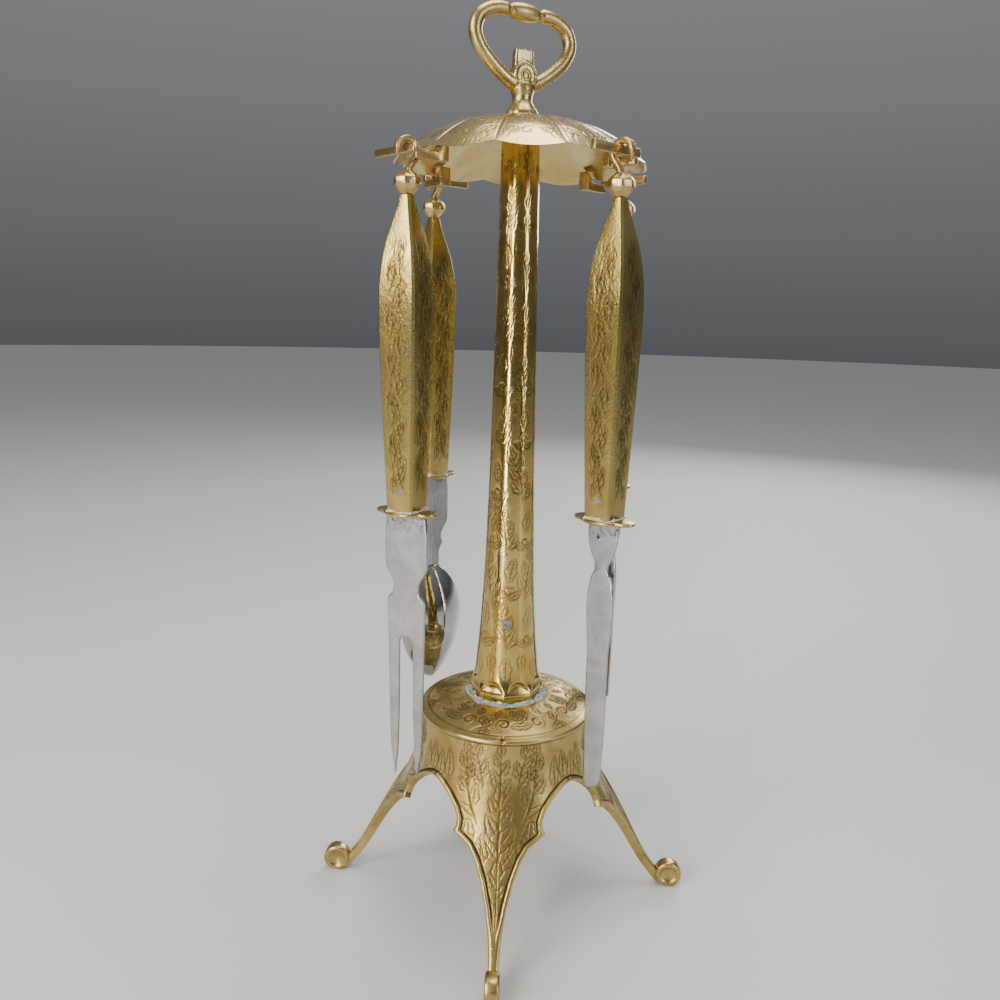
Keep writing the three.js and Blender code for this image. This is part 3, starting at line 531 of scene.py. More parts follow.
def baseSkins():
    # One leg with its quarter of the skirt. A row is a height; its points spread over the leg's width,
    # part evenly and part by a sine that crowds them at the edges, on a circle of the skirt's radius.
    top, crown = base["top"], base["top"] * base["archCrown"]
    toeZ = base["line"][-1][1] * top
    panelZ = np.linspace(20, top, base["panelRows"])
    z = np.concatenate([np.linspace(toeZ, 20, base["strapRows"], endpoint=False), panelZ])
    z[np.argmin(np.abs(z - crown))] = crown
    radius = skirtRadius(z)
    half = legHalfWidth(z)
    line = np.stack([radius, z], -1)
    along = arcLength(line) - arcLength(line)[-1]
    step = np.gradient(line, axis=0)
    outwards = np.stack([step[:, 1], -step[:, 0]], -1) / np.linalg.norm(step, axis=1, keepdims=True)
    even = np.linspace(-1, 1, base["columns"])
    share = 0.62 * even + 0.38 * np.sin(even * math.pi / 2)
    angle = np.arcsin(np.clip(share[None] * half[:, None] / radius[:, None], -1, 1))
    # distance from each point to the leg's free edge, measured on the surface
    free = z < crown
    edge = np.stack([np.arcsin(half / radius)[free] * radius[free], along[free]], -1)
    away = np.full(angle.shape, 99.0)
    x = np.abs(angle) * radius[:, None]
    for (ax, ay), (bx, by) in zip(edge[:-1], edge[1:]):
        dx, dy = bx - ax, by - ay
        s = np.clip(((x - ax) * dx + (along[:, None] - ay) * dy) / (dx * dx + dy * dy), 0, 1)
        away = np.minimum(away, np.hypot(x - ax - s * dx, along[:, None] - ay - s * dy))
    inBead = np.clip(away / base["beadWidth"], 0, 1)
    bead = base["beadHeight"] * np.sqrt(np.clip(1 - (2 * inBead - 1) ** 2, 0, 1))
    bead = bead * (away < base["beadWidth"])
    strap = 1 - smoothStep(z, 16, 27)[:, None]
    bead = bead * (1 - strap) + strap * base["beadHeight"] * (1 - np.abs(share[None]) ** 4)
    strokes = laid(legStrokes(), 0, 0, 50.0)
    strokes += [s for a in (-math.pi / 4, math.pi / 4) for s in laid(seamStrokes(), a, 0, 42.0)]
    cut = engraved(strokes, angle, radius, along) * smoothStep(away, 2.2, 3.2) * (1 - strap)
    cut = np.maximum(cut, 0.28 * np.exp(-((away - base["beadWidth"] - 0.3) / 0.45) ** 2) * (1 - strap))
    lift = bead - cut
    wall = base["strapWall"] + (base["wall"] - base["strapWall"]) * smoothStep(z, 0, top)

    def skin(lift, angle):
        r = radius[:, None] + outwards[:, :1] * lift
        h = z[:, None] + outwards[:, 1:] * lift
        return np.stack([r * np.cos(angle), r * np.sin(angle), h + 0 * angle], -1)

    outer = skin(lift, angle)
    coarse = np.linspace(0, base["columns"] - 1, base["insideColumns"]).astype(int)
    inner = skin(-wall[:, None] + 0 * angle[:, coarse], angle[:, coarse])
    return z, crown, outer, inner, cut / fullCut


def makeBase():
    z, crown, outer, inner, cut = baseSkins()
    skins, marks = [], []
    rows, cols = outer.shape[:2]
    inCols = inner.shape[1]
    free = int(np.argmax(z >= crown - 1e-6))
    for way in (0, 90, 180, 270):
        o, i = spun(outer, way).reshape(-1, 3), spun(inner, way).reshape(-1, 3)
        points = np.concatenate([o, i])
        n = rows * cols
        quads = [gridFaces(rows, cols, False), gridFaces(rows, inCols, False, start=n)[:, ::-1]]
        k = np.arange(free)
        for oc, ic, flip in ((0, 0, False), (cols - 1, inCols - 1, True)):  # the wall's cut edges
            outside, inside = k * cols + oc, n + k * inCols + ic
            q = np.stack([outside, outside + cols, inside + inCols, inside], -1)
            quads.append(q[:, ::-1] if flip else q)
        tris = []
        pick = np.linspace(0, cols - 1, inCols).astype(int)
        for row, flip in ((0, False), (rows - 1, True)):  # the toe's end and the top edge
            for a in range(inCols - 1):
                point, start = n + row * inCols + a, row * cols
                fan = [[point, start + c + 1, start + c] for c in range(pick[a], pick[a + 1])]
                fan.append([point, point + 1, start + pick[a + 1]])
                tris += [f[::-1] for f in fan] if flip else fan
        skins.append((points, np.concatenate(quads), np.array(tris)))
        marks.append(np.concatenate([cut.ravel(), np.zeros(len(i))]))
    mesh = makeMesh("base_skirt_and_legs", joined(*skins), {"cut": np.concatenate(marks)})
    weld(mesh, 0.004)
    mesh.set_sharp_from_angle(angle=math.radians(50))
    addPiece("base_skirt_and_legs", mesh, castBrass, "stand", ["base_casting"])


def makeFeet():
    # A roll with a dished recess on both sides, turned round Y and worn flat where it stands.
    skins = []
    r, w = base["scrollRadius"], base["scrollWidth"] / 2
    half = [(0.0, w - 1.6), (0.12 * r, w - 1.55), (0.55 * r, w - 0.75), (0.68 * r, w - 0.15),
            (0.76 * r, w), (0.9 * r, w - 0.1), (0.97 * r, w - 0.5), (r, w - 1.1)]
    s = np.linspace(0, 1, 26)
    x, y = np.array(half).T
    side = np.stack([np.interp(s, np.linspace(0, 1, len(x)), v) for v in (x, y)], -1)
    line = np.concatenate([side * [1, -1], side[::-1]])
    line[0, 0] = line[-1, 0] = 0.02
    for way in (0, 90, 180, 270):
        disc = turnedGrid(line, np.arange(72) / 72 * turn)
        disc = np.stack([disc[..., 0], -disc[..., 2], disc[..., 1]], -1)
        disc[..., 2] = np.maximum(disc[..., 2], base["scrollWear"] - r)
        disc = disc + [base["footCircle"], 0, r - base["scrollWear"]]
        skins.append(grid(spun(disc, way)))
    mesh = makeMesh("base_scroll_feet", joined(*skins), sharp=50)
    addPiece(mesh.name, mesh, castBrass, "stand")


makeBase()
makeFeet()
print("base ready")


plateLow, plateHigh = boxMm("base_top_plate")
topPlate = {"radius": plateHigh[0], "bottom": plateLow[2], "top": plateHigh[2], "lip": 2.6, "seat": 19,
            "fall": 1.6, "hole": 2.7, "wall": 1.8, "columns": 620, "nickWay": -90,
            "cutDepth": 1.3}


def plateStrokes(radius, lipAlong):
    # Twelve scrolls with leaves round the plate; along is 0 at the seat and grows outwards.
    cuts, count = [], 12
    for k in range(count):
        a = turn * k / count
        hand = 1 if k % 2 else -1
        motif = moved(scroll(3.6, 1.5, hand), 0, 12, 90)
        motif += moved(leaf(8.5, 4.2, 4, 0.2), hand * 3, 6, -hand * 62)
        motif += moved(leaf(8, 3.8, 4, 0.1), -hand * 4.4, 8, hand * 35)
        motif += moved(leaf(7.4, 3.6, 4), hand * 5.5, 13.5, -hand * 95)
        motif += moved(leaf(6.5, 3.2, 4), -hand * 2, 2.2, hand * 14)
        motif += moved(leaf(6.5, 3.2, 4), hand * 4.2, 1.8, -hand * 20)
        motif += moved(leaf(6, 3, 3), -hand * 5.6, 15.5, hand * 70)
        cuts += laid(motif, a, 0, radius)
    t = np.linspace(-0.1, turn + 0.1, 90)
    cuts.append((np.stack([t, np.full(90, lipAlong - 1.2)], -1), 0.4, 0.16))
    return cuts


def makePlate():
    # The plate's section turned round Z: hollow underside, rolled lip, dome and seat.
    p = topPlate
    radius, top, bottom, wall, half = p["radius"], p["top"], p["bottom"], p["wall"], p["lip"] / 2
    lip, edge = bottom + p["lip"], radius - 2.2
    mid = (p["seat"] + radius) / 2
    x = np.linspace(p["seat"] - 2, edge, 58)
    dome = [(p["seat"] - 2, top), (p["seat"], top), (mid, top - p["fall"]), (edge, lip + 0.35)]
    face = np.stack([x, smoothLine(dome, x)], -1)[::-1]
    a = np.linspace(-math.pi / 2, math.pi / 2, 15)
    roll = np.stack([radius - half + half * np.cos(a), bottom + half * (1 + np.sin(a))], -1)
    under = [(p["hole"], top - wall), (p["seat"] - 1, top - wall), (mid - 1, top - p["fall"] - wall),
             (radius - 6, lip + 0.4 - wall), (radius - 5.4, bottom), (radius - 2, bottom)]
    line = np.concatenate([under, roll, face, [(p["hole"] + 0.3, top), (p["hole"], top - 0.3)]])
    first = len(under) + len(roll)
    angles = np.arange(p["columns"]) / p["columns"] * turn
    along = np.full(len(line), -99.0)
    along[first:first + len(face)] = face[:, 0] - p["seat"]
    around = np.maximum(line[:, 0], 1)
    sink = np.zeros((len(line), p["columns"]))
    rows = slice(first, first + len(face))
    order = np.argsort(along[rows])
    across = np.broadcast_to(angles, (len(face), p["columns"]))
    strokes = plateStrokes(29.0, edge - p["seat"])
    short = [one for one in strokes if len(one[0]) < 80]  # all but the ring, which overlaps itself
    strokes += [(q + [turn, 0], h, d) for q, h, d in short if q[:, 0].min() < 0.5]
    strokes += [(q - [turn, 0], h, d) for q, h, d in short if q[:, 0].max() > turn - 0.5]
    cut = np.zeros((len(face), p["columns"]))
    cut[order] = engraved(strokes, across[order], around[rows][order], along[rows][order])
    sink[rows] = cut * p["cutDepth"]
    nick = np.exp(-((np.degrees(angles) - (p["nickWay"] % 360)) / 1.1) ** 2)
    sink[first - 9:first + 2] += 0.7 * nick
    marks = np.zeros_like(sink)
    marks[rows] = cut / fullCut
    marks[first - 9:first + 2] += nick
    skin = grid(turnedGrid(line, angles, sink), wrapRows=True)
    addPiece("base_top_plate_domed", makeMesh("base_top_plate_domed", skin, {"cut": marks}, 50),
             plateBrass, "stand", ["base_top_plate"])


makePlate()
print("top plate ready")


postLow, postHigh = boxMm("post")
post = {"foot": postLow[2], "top": postHigh[2], "footRadius": 17.2, "topRadius": 8.0, "wall": 1.8,
        "rows": 455, "columns": 176, "facets": 8, "facetHeight": 9.5, "cutDepth": 0.6,
        "line": [(0, 0.13), (0.014, 0), (0.032, 0.165), (0.081, 0.336), (0.176, 0.533), (0.36, 0.72),
                 (0.54, 0.823), (0.83, 0.94), (1, 1)]}


def postRadius(z):  # outer radius at a height above the post's foot
    inwards = smoothLine(post["line"], z / (post["top"] - post["foot"]))
    return post["footRadius"] + (post["topRadius"] - post["footRadius"]) * inwards


def postStrokes(height):  # leaf tips at the foot, then sprays in rings, each ring turned half a step
    cuts = []
    for k in range(6):  # leaf tips that hang down over the plain foot
        a = turn * (k + 0.5) / 6
        r = float(postRadius(np.array(20.0)))
        cuts += laid(moved(leaf(13, 5.2, 5), 0, 22, 180), a, 0, r)
        cuts += laid(moved(leaf(10, 4.2, 4), 0, 24, 180), a + turn / 12, 0, r)
    levels = np.arange(24, height - 18, 23)
    for n, z in enumerate(levels):
        r = float(postRadius(np.array(z + 12.0)))
        columns = 4 if r > 10.5 else 3
        for k in range(columns):
            a = turn * (k + 0.5 * (n % 2)) / columns + 0.12 * dice.uniform(-1, 1)
            size = min(1.0, r / 12.5) * dice.uniform(0.92, 1.06)
            bend = 0.2 * (-1) ** (n + k)
            cuts += laid(moved(spray(24, 3, 11, 5.0, bend, 38), 0, 0, 0, size), a, z, r)
            cuts += laid(moved(scroll(2.6, 1.3, (-1) ** k), 0, 0, 0, size),
                         a + turn * 0.5 / columns, z + 6, r)
            cuts += laid(moved(leaf(13, 5, 5, 0.1), 0, 0, dice.uniform(-12, 12), size),
                         a + turn * 0.5 / columns, z + 10, r)
            for hand in (1, -1):
                cuts += laid(moved(leaf(8, 3.4, 4, 0.15), 0, 0, hand * 48, size, -hand),
                             a + turn * 0.5 / columns, z + 2, r)
    for z, a in ((70, -1.75), (150, -1.45), (112, 0.9), (60, 2.6), (165, 2.2)):
        cuts += laid(chevrons(22, 3.6, 1.5), a % turn, z, float(postRadius(np.array(float(z)))))
    return cuts


def makePost():
    # The post's line turned round Z; strokes, the foot's flats and their arched rims are sunk into it.
    height = post["top"] - post["foot"]
    z = np.linspace(0.5, height - 0.4, post["rows"])
    r = postRadius(z)
    outer = np.stack([r, z], -1)
    ends = [(r[-1] - 0.25, height - 0.1), (r[-1] - 0.6, height)]
    inside = [(float(postRadius(np.array(h))) - post["wall"], h)
              for h in (height, height * 0.5, 60, 25, 8, 0)]
    low = [(r[0] - 0.45, 0.0), (r[0] - 0.12, 0.15)]
    line = np.concatenate([outer, ends, inside, low])
    angles = np.arange(post["columns"]) / post["columns"] * turn
    strokes = postStrokes(height)
    strokes += [(p + [s * turn, 0], h, d) for s in (1, -1) for p, h, d in strokes
                if (p[:, 0].min() < 0.6 if s > 0 else p[:, 0].max() > turn - 0.6)]
    across = np.broadcast_to(angles, (len(z), post["columns"]))
    cut = engraved(strokes, across, r, z)
    cut *= smoothStep(z, 9, 11)[:, None] * (1 - smoothStep(z, height - 14, height - 8))[:, None]
    # flats round the foot, each with an arched top
    part = turn / post["facets"]
    inPart = (angles % part) / part - 0.5
    arch = post["facetHeight"] - 5.5 * (2 * np.abs(inPart)) ** 2
    onFlat = 1 - smoothStep(z[:, None], arch[None] - 0.7, arch[None] + 0.7)
    flat = r[:, None] * (1 - math.cos(part / 2) / np.cos(inPart * part))[None]
    rim = 0.25 * np.exp(-((z[:, None] - arch[None]) / 0.6) ** 2)
    sink = np.zeros((len(line), post["columns"]))
    sink[:len(z)] = cut * post["cutDepth"] + onFlat * flat * 0.75 + rim * 0.7
    marks = np.zeros_like(sink)
    marks[:len(z)] = cut / fullCut + rim * 2.2
    points = turnedGrid(line, angles, sink) + [0, 0, post["foot"]]
    mesh = makeMesh("post_engraved_tube", grid(points, wrapRows=True), {"cut": marks}, 60)
    addPiece(mesh.name, mesh, postBrass, "stand", ["post"])


makePost()


def makeVerdigris():
    # A crumbly ring in the corner between post and plate; its height and width wander.
    z0, inner = post["foot"] - 0.3, post["footRadius"] - 1.2
    a = np.arange(360) / 360 * turn
    s = np.linspace(0, 1, 16)[:, None]
    around = np.stack([np.cos(a), np.sin(a), 0 * a], -1) * 18
    wide = 2.7 + 0.7 * lumps(around, 9, 3)
    tall = 0.9 + 0.4 * lumps(around, 5, 4)
    r = inner + wide * s
    z = z0 + tall * (1 - s ** 1.4) * (0.75 + 0.25 * np.cos(9 * s)) + 0.02
    points = np.stack([r * np.cos(a), r * np.sin(a), z], -1)
    points[..., 2] += 0.22 * lumps(points, 1.3, 5) * np.sin(math.pi * s)
    points[..., 2] = np.maximum(points[..., 2], z0 + 0.03)
    low = np.stack([points[..., 0], points[..., 1], np.full_like(z, z0 - 0.2)], -1)[::-1]
    skin = grid(np.concatenate([low, points]), wrapRows=True)
    addPiece("verdigris_ring", makeMesh("verdigris_ring", skin), verdigris, "stand")


makeVerdigris()


def makePlug():
    # A quarter ellipse turned into a low dome, made lumpy, then laid on its side in the wall.
    low, high = boxMm("post_plug")
    middle, radius = (low + high) / 2, (high[0] - low[0]) / 2
    s = np.linspace(0, 1, 12)
    face = np.stack([radius * np.sin(s * math.pi / 2), -0.45 * np.cos(s * math.pi / 2)], -1)
    line = np.concatenate([face, [(radius, 1.6), (0.02, 1.6)]])
    line[0, 0] = 0.02
    points = turnedGrid(line, np.arange(40) / 40 * turn)
    points[..., 2] += 0.12 * lumps(points, 1.6, 8) * (points[..., 2] < 1)
    points = np.stack([points[..., 0], points[..., 2], -points[..., 1]], -1)
    points = points + [middle[0], low[1], middle[2]]
    addPiece("post_plug_solder", makeMesh("post_plug_solder", grid(points), sharp=40),
             solderGrey, "stand", ["post_plug"])


makePlug()
print("post ready")


canopy = {"radius": 53.3, "rise": 18.5, "wall": 1.3, "lobes": 12, "crease": 1.7, "creaseTurn": -9.0,
          "lift": 1.9, "crown": 0.12, "cutDepth": 1.4, "top": boxMm("canopy")[1][2], "hole": 2.7,
          "rows": 96, "columns": 636, "insideRows": 26}


def canopySkin(share, angle, drop):
    # A dome that falls with the cube of the share of its radius. Its creases draw in towards the rim:
    # one less the absolute sine of the angle times half the lobes, so each crease is a sharp valley,
    # and at the very rim each crease rises.
    lobe = np.abs(np.sin(canopy["lobes"] / 2 * (angle - math.radians(canopy["creaseTurn"]))))
    draw = canopy["crease"] * (1 - lobe ** 0.8) * share ** 2
    r = share * (canopy["radius"] - drop * 0.8) - draw
    z = canopy["top"] - drop - (canopy["rise"] - drop) * share ** 3 - draw * 0.6 * (1 - share ** 6)
    return r, z + canopy["lift"] * (1 - lobe) * share ** 7


def lobeStrokes():  # one lobe, x across and y inwards from the rim
    cuts = [stroke([12.04, 12.04, 12.04], [0.3, 18, 38], 0.55, 0.22)]  # the line along the lobe's crease
    for hand in (1, -1):
        s = np.linspace(0, 1, 12)
        cuts.append(stroke(hand * (10.6 - 1.4 * s), 2.2 + 22 * s, 0.3, 0.12))
        cuts.append(stroke(hand * (8.5 * np.cos(s * 1.3)), 3 + 8 * np.sin(s * 1.5), 0.4, 0.16))
        cuts += moved(leaf(8.5, 4, 4, 0.15), hand * 4.6, 7.2, -hand * 38, mirror=hand)
    cuts += moved(scroll(2.8, 1.3), -1.2, 9.2, 30)
    cuts += moved(leaf(11, 4.6, 5), 0, 15, 0)
    for k in range(9):
        cuts.append(stroke([-6.4 + 1.6 * k] * 2, [1.2, 3.4], 0.28, 0.12))
    return cuts


def makeCanopy():
    # Rings at shares of the radius over the top, a rounded rim, and rings back under it to the hole.
    c = canopy
    share = np.linspace(c["crown"], 1, c["rows"])
    angles = np.arange(c["columns"]) / c["columns"] * turn
    r, z = canopySkin(share[:, None], angles[None], 0)
    line = np.stack([r.max(1), z.max(1)], -1)
    inwards = arcLength(line)[-1] - arcLength(line)
    strokes = []
    for k in range(c["lobes"]):
        a = math.radians(c["creaseTurn"]) + turn * (k + 0.5) / c["lobes"]
        strokes += laid(lobeStrokes(), a % turn, 0, 46.0)
    strokes += [(p + [s * turn, 0], h, d) for s in (1, -1) for p, h, d in strokes
                if (p[:, 0].min() < 0.4 if s > 0 else p[:, 0].max() > turn - 0.4)]
    order = np.argsort(inwards)
    across = np.broadcast_to(angles, r.shape)
    cut = np.zeros(r.shape)
    cut[order] = engraved(strokes, across[order], np.maximum(line[order, 0], 1), inwards[order])
    z = z - cut * c["cutDepth"]
    top = np.stack([r * np.cos(angles), r * np.sin(angles), z], -1)
    inner = np.linspace(1, c["crown"], c["insideRows"])
    ri, zi = canopySkin(inner[:, None], angles[None], c["wall"])
    under = np.stack([ri * np.cos(angles), ri * np.sin(angles), zi], -1)
    edge = top[-1] * 0.5 + under[0] * 0.5
    edge[:, :2] *= 1 + 0.25 / c["radius"]
    ring = np.stack([np.cos(angles), np.sin(angles), 0 * angles], -1) * c["hole"]
    points = np.concatenate([(ring + [0, 0, c["top"]])[None], top, edge[None], under,
                             (ring + [0, 0, c["top"] - c["wall"]])[None]])
    marks = np.zeros(points.shape[:2])
    marks[1:1 + len(top)] = cut / fullCut
    skin = grid(points[::-1], wrapRows=True)
    mesh = makeMesh("canopy_dome", skin, {"cut": marks[::-1]}, 38)
    addPiece("canopy_dome", mesh, canopyBrass, "canopy", ["canopy"])


makeCanopy()
print("canopy ready")


def easedCopy(node, name, material, body, width, segments=2):
    # A copy of a CAD node, its doubles merged and its flat faces made whole, with a small round on every
    # edge.
    mesh = frame["nodes"][node].data.copy()
    mesh.name = name
    mesh.materials.clear()
    work = bmesh.new()
    work.from_mesh(mesh)
    bmesh.ops.remove_doubles(work, verts=work.verts, dist=2e-6)
    bmesh.ops.dissolve_limit(work, angle_limit=math.radians(3), verts=work.verts, edges=work.edges)
    work.to_mesh(mesh)
    work.free()
    mesh.shade_smooth()
    piece = addPiece(name, mesh, material, body, [node])
    ease = piece.modifiers.new("eased", "BEVEL")
    ease.width = width * mmToMetre
    ease.segments = segments
    ease.limit_method = "ANGLE"
    ease.angle_limit = math.radians(28)
    ease.harden_normals = True
    return piece


for place in ("front_left", "front_right", "back_right", "back_left"):
    easedCopy(f"hook_{place}", f"hook_bracket_{place}", fittingBrass, "canopy", 0.35)
print("hooks ready")


# The way each bracket points, how far its tool has slid along the arm, and how far the handle is turned.
tools = {"fork": {"way": -135, "slid": 0, "yaw": 21}, "knife": {"way": -45, "slid": 3.5, "yaw": -83},
         "spreader": {"way": 45, "slid": 8, "yaw": -11}, "spoon": {"way": 135, "slid": 0, "yaw": 0}}
tool = {"crookInner": 3.4, "crookThick": 2.4, "crookWidth": 2.9, "crookNeck": 6.5, "ballRadius": 5.25,
        "ballHeight": 9, "handleTop": 2.4, "handleMax": 8.3, "handleMiddle": 7.95, "handleEnd": 6.1,
        "bevel": 0.9, "guardLength": 28, "guardDepth": 16.6, "guardWall": 1.8, "cutDepth": 0.6,
        "handleRows": 290, "faceColumns": 30}
joints = {j["name"]: j for j in frame["joints"]}


def toolPlace(name):  # how far a tool's hanger and its handle are turned, and where its hook's eye is
    look = tools[name]
    along = math.radians(look["way"] - 90)
    where = np.array(joints[f"{name}_swing"]["pos_m"]) * 1000
    where = where + look["slid"] * np.array([math.cos(along), math.sin(along), 0])
    return look["way"] + 90, look["way"] + 90 + look["yaw"], where


def crookSkin(ballTop):
    # The crook: a strip bent round the bracket's arm, its ends tapered, flat-faced with eased corners.
    r = tool["crookInner"] + tool["crookThick"] / 2
    middle = 0.15 - tool["crookInner"]
    a = np.radians(np.linspace(-6, 186, 40))
    bend = np.stack([r * np.cos(a), middle + r * np.sin(a)], -1)
    neck = np.array([(0, ballTop - 1.2), (0.4, ballTop - 0.1), (0.95, ballTop + 0.9),
                     (1.7, ballTop + 1.9), (2.6, ballTop + 2.9), (3.4, ballTop + 3.9),
                     (4.1, ballTop + 4.9)])
    tip = np.array([(-r + 0.1, middle - 1.2), (-r + 0.5, middle - 2.6)])
    path = np.concatenate([neck, bend, tip])
    far = arcLength(path)
    at = np.linspace(0, far[-1], 70)
    path = np.stack([np.zeros(70), np.interp(at, far, path[:, 0]), np.interp(at, far, path[:, 1])], -1)
    slim = 1 - 0.72 * smoothStep(at / far[-1], 0.84, 1.0)
    wide = tool["crookWidth"] / 2 * slim * (1 + 0.12 * np.exp(-(at / 3) ** 2))
    return sweptTube(path, tool["crookThick"] / 2 * slim, wide, (1, 0, 0), 28, 3.6)


def ballSkin(ballTop):
    # A bead filed to eight flats: the polygon's radius is the round one's times the cosine of 22.5
    # degrees over the cosine of the turn within the flat.
    line = [(0.0, 0.3), (0.1, 0.56), (0.22, 0.83), (0.34, 0.97), (0.5, 1.0), (0.62, 0.985), (0.78, 0.8),
            (0.9, 0.6), (1.0, 0.44)]
    s = np.linspace(0, 1, 40)
    r = tool["ballRadius"] * np.interp(s, *np.array(line).T)
    a = np.arange(96) / 96 * turn
    part = turn / 8
    flat = math.cos(part / 2) / np.cos((a % part) - part / 2)
    r = r[:, None] * (0.35 + 0.65 * flat[None]) * 1.02
    z = ballTop - tool["ballHeight"] * s
    return np.stack([r * np.cos(a), r * np.sin(a), z[:, None] + 0 * r], -1)[::-1]


def handleHalf(s):  # half width at a share of the way down
    line = [(0, 0), (0.035, 0.12), (0.08, 0.34), (0.14, 0.64), (0.2, 0.84), (0.27, 0.96), (0.33, 1)]
    top, full = tool["handleTop"], tool["handleMax"]
    points = [(d, top + (full - top) * w) for d, w in line]
    return smoothLine(points + [(0.5, tool["handleMiddle"]), (1, tool["handleEnd"])], s)


def faceStrokes(length, seed):
    # One face: a wandering stem down the middle, feathered leaves on both sides, hatching between.
    rng = np.random.default_rng(seed)
    cuts = []
    y = 9.0
    hand = 1 if seed % 2 else -1
    while y < length - 19:
        size = rng.uniform(0.88, 1.12)
        lean = rng.uniform(14, 30)
        cuts += moved(leaf(14, 6, 8, 0.28, 3, 0.3), hand * 2.6, y, hand * lean, size, mirror=hand)
        cuts += moved(leaf(9.5, 4, 6, 0.16, 2, 0.28), -hand * 1.2, y + 2.6, -hand * (lean + 16), size,
                      mirror=-hand)
        cuts += moved(leaf(7, 3.2, 5, 0.1, 2, 0.26), -hand * 3.4, y - 1.5, -hand * 8, size, mirror=-hand)
        s = np.linspace(0, 1, 6)
        cuts.append(stroke(hand * (4.4 - 7.2 * s + 2.2 * s * s), y - 2 + 13 * s, 0.36, 0.18))
        for k in range(4):
            cuts.append(stroke([-hand * (1.0 + k), -hand * (3.6 + k)], [y + 6 + k, y + 9 + k],
                               0.24, 0.11))
        y += 8.4 * size
        hand = -hand
    cuts += moved(leaf(13, 5, 6, 0.0, 3, 0.36), 0, y + 4, 0)
    return cuts


def handleSkin(top, length, seed):
    # A square section whose corners are planed off; its four faces carry the engraving.
    rows = tool["handleRows"]
    s = np.linspace(0, 1, rows)
    half = handleHalf(s)
    cols = tool["faceColumns"]
    b = np.minimum(tool["bevel"], half / 2.5)
    v = np.linspace(-1, 1, cols)
    z = top - length * s
    rings, marks = [], []
    for k in range(4):
        x = v[None] * (half - b)[:, None]
        strokes = faceStrokes(length, seed + k)
        up = length * (1 - s)
        narrow = np.minimum(half / tool["handleMax"], 1)
        cut = np.zeros(x.shape)
        spread = (x / narrow[:, None])[::-1]
        cut[::-1] = engraved(strokes, spread, np.ones(rows) * narrow.mean(), up[::-1])
        cut *= smoothStep(half[:, None] - b[:, None] - np.abs(x), 0.35, 1.0)
        cut *= smoothStep(s, 0.1, 0.16)[:, None]
        proud = half[:, None] + 0.12 * (1 - v[None] ** 2) - cut * tool["cutDepth"]
        face = np.stack([proud, x, z[:, None] + 0 * x], -1)
        rings.append(spun(face, 90 * k))
        marks.append(cut / fullCut)
    return np.concatenate(rings, 1)[::-1], np.concatenate(marks, 1)[::-1]


def guardSkin(top):
    # The outline is the furthest of three ellipses along each ray: the middle one and an ear at each end.
    a = np.arange(144) / 144 * turn

    def far(c, p, q):
        k = np.cos(a) ** 2 / p ** 2 + np.sin(a) ** 2 / q ** 2
        h = c * np.cos(a) / p ** 2
        inside = h * h - k * (c * c / p ** 2 - 1)
        return np.where(inside > 0, (h + np.sqrt(np.maximum(inside, 0))) / k, 0)

    length, depth = tool["guardLength"], tool["guardDepth"]
    ear = length * 0.2
    out = np.max([far(0, length * 0.35, depth / 2), far(length / 2 - ear, ear, depth * 0.27),
                  far(ear - length / 2, ear, depth * 0.27)], 0)
    w = tool["guardWall"]
    edge = [(0.05, 0.0), (0.6, 0.0), (0.93, 0.03), (0.985, 0.2), (1.0, 0.5), (0.985, 0.8), (0.93, 0.97),
            (0.6, 1.0), (0.05, 1.0)]
    rows = []
    for share, up in edge:
        r = out * share
        rows.append(np.stack([r * np.cos(a), r * np.sin(a), np.full_like(r, top - w + w * up)], -1))
    return np.stack(rows)


def crustSkin(half, z0, seed):
    # Flux left in the corner where the handle meets the guard.
    a = np.arange(128) / 128 * turn
    s = np.linspace(0, 1, 9)[:, None]
    box = 1 / np.maximum(np.abs(np.cos(a)), np.abs(np.sin(a)))
    around = np.stack([np.cos(a), np.sin(a), 0 * a], -1) * 8
    wide = 1.3 + 0.45 * lumps(around, 4, seed)
    tall = 1.9 + 1.0 * lumps(around, 5, seed + 1)
    r = (half * np.minimum(box, 1.33) - 0.5) + wide * s
    z = z0 + 0.03 + tall * (1 - s) ** 1.6
    skin = np.stack([r * np.cos(a), r * np.sin(a), z], -1)
    skin[..., 2] += 0.15 * lumps(skin, 1.1, seed + 2) * np.sin(math.pi * s)
    low = np.stack([skin[..., 0], skin[..., 1], np.full_like(z, z0 - 0.2)], -1)[::-1]
    return np.concatenate([low, skin])


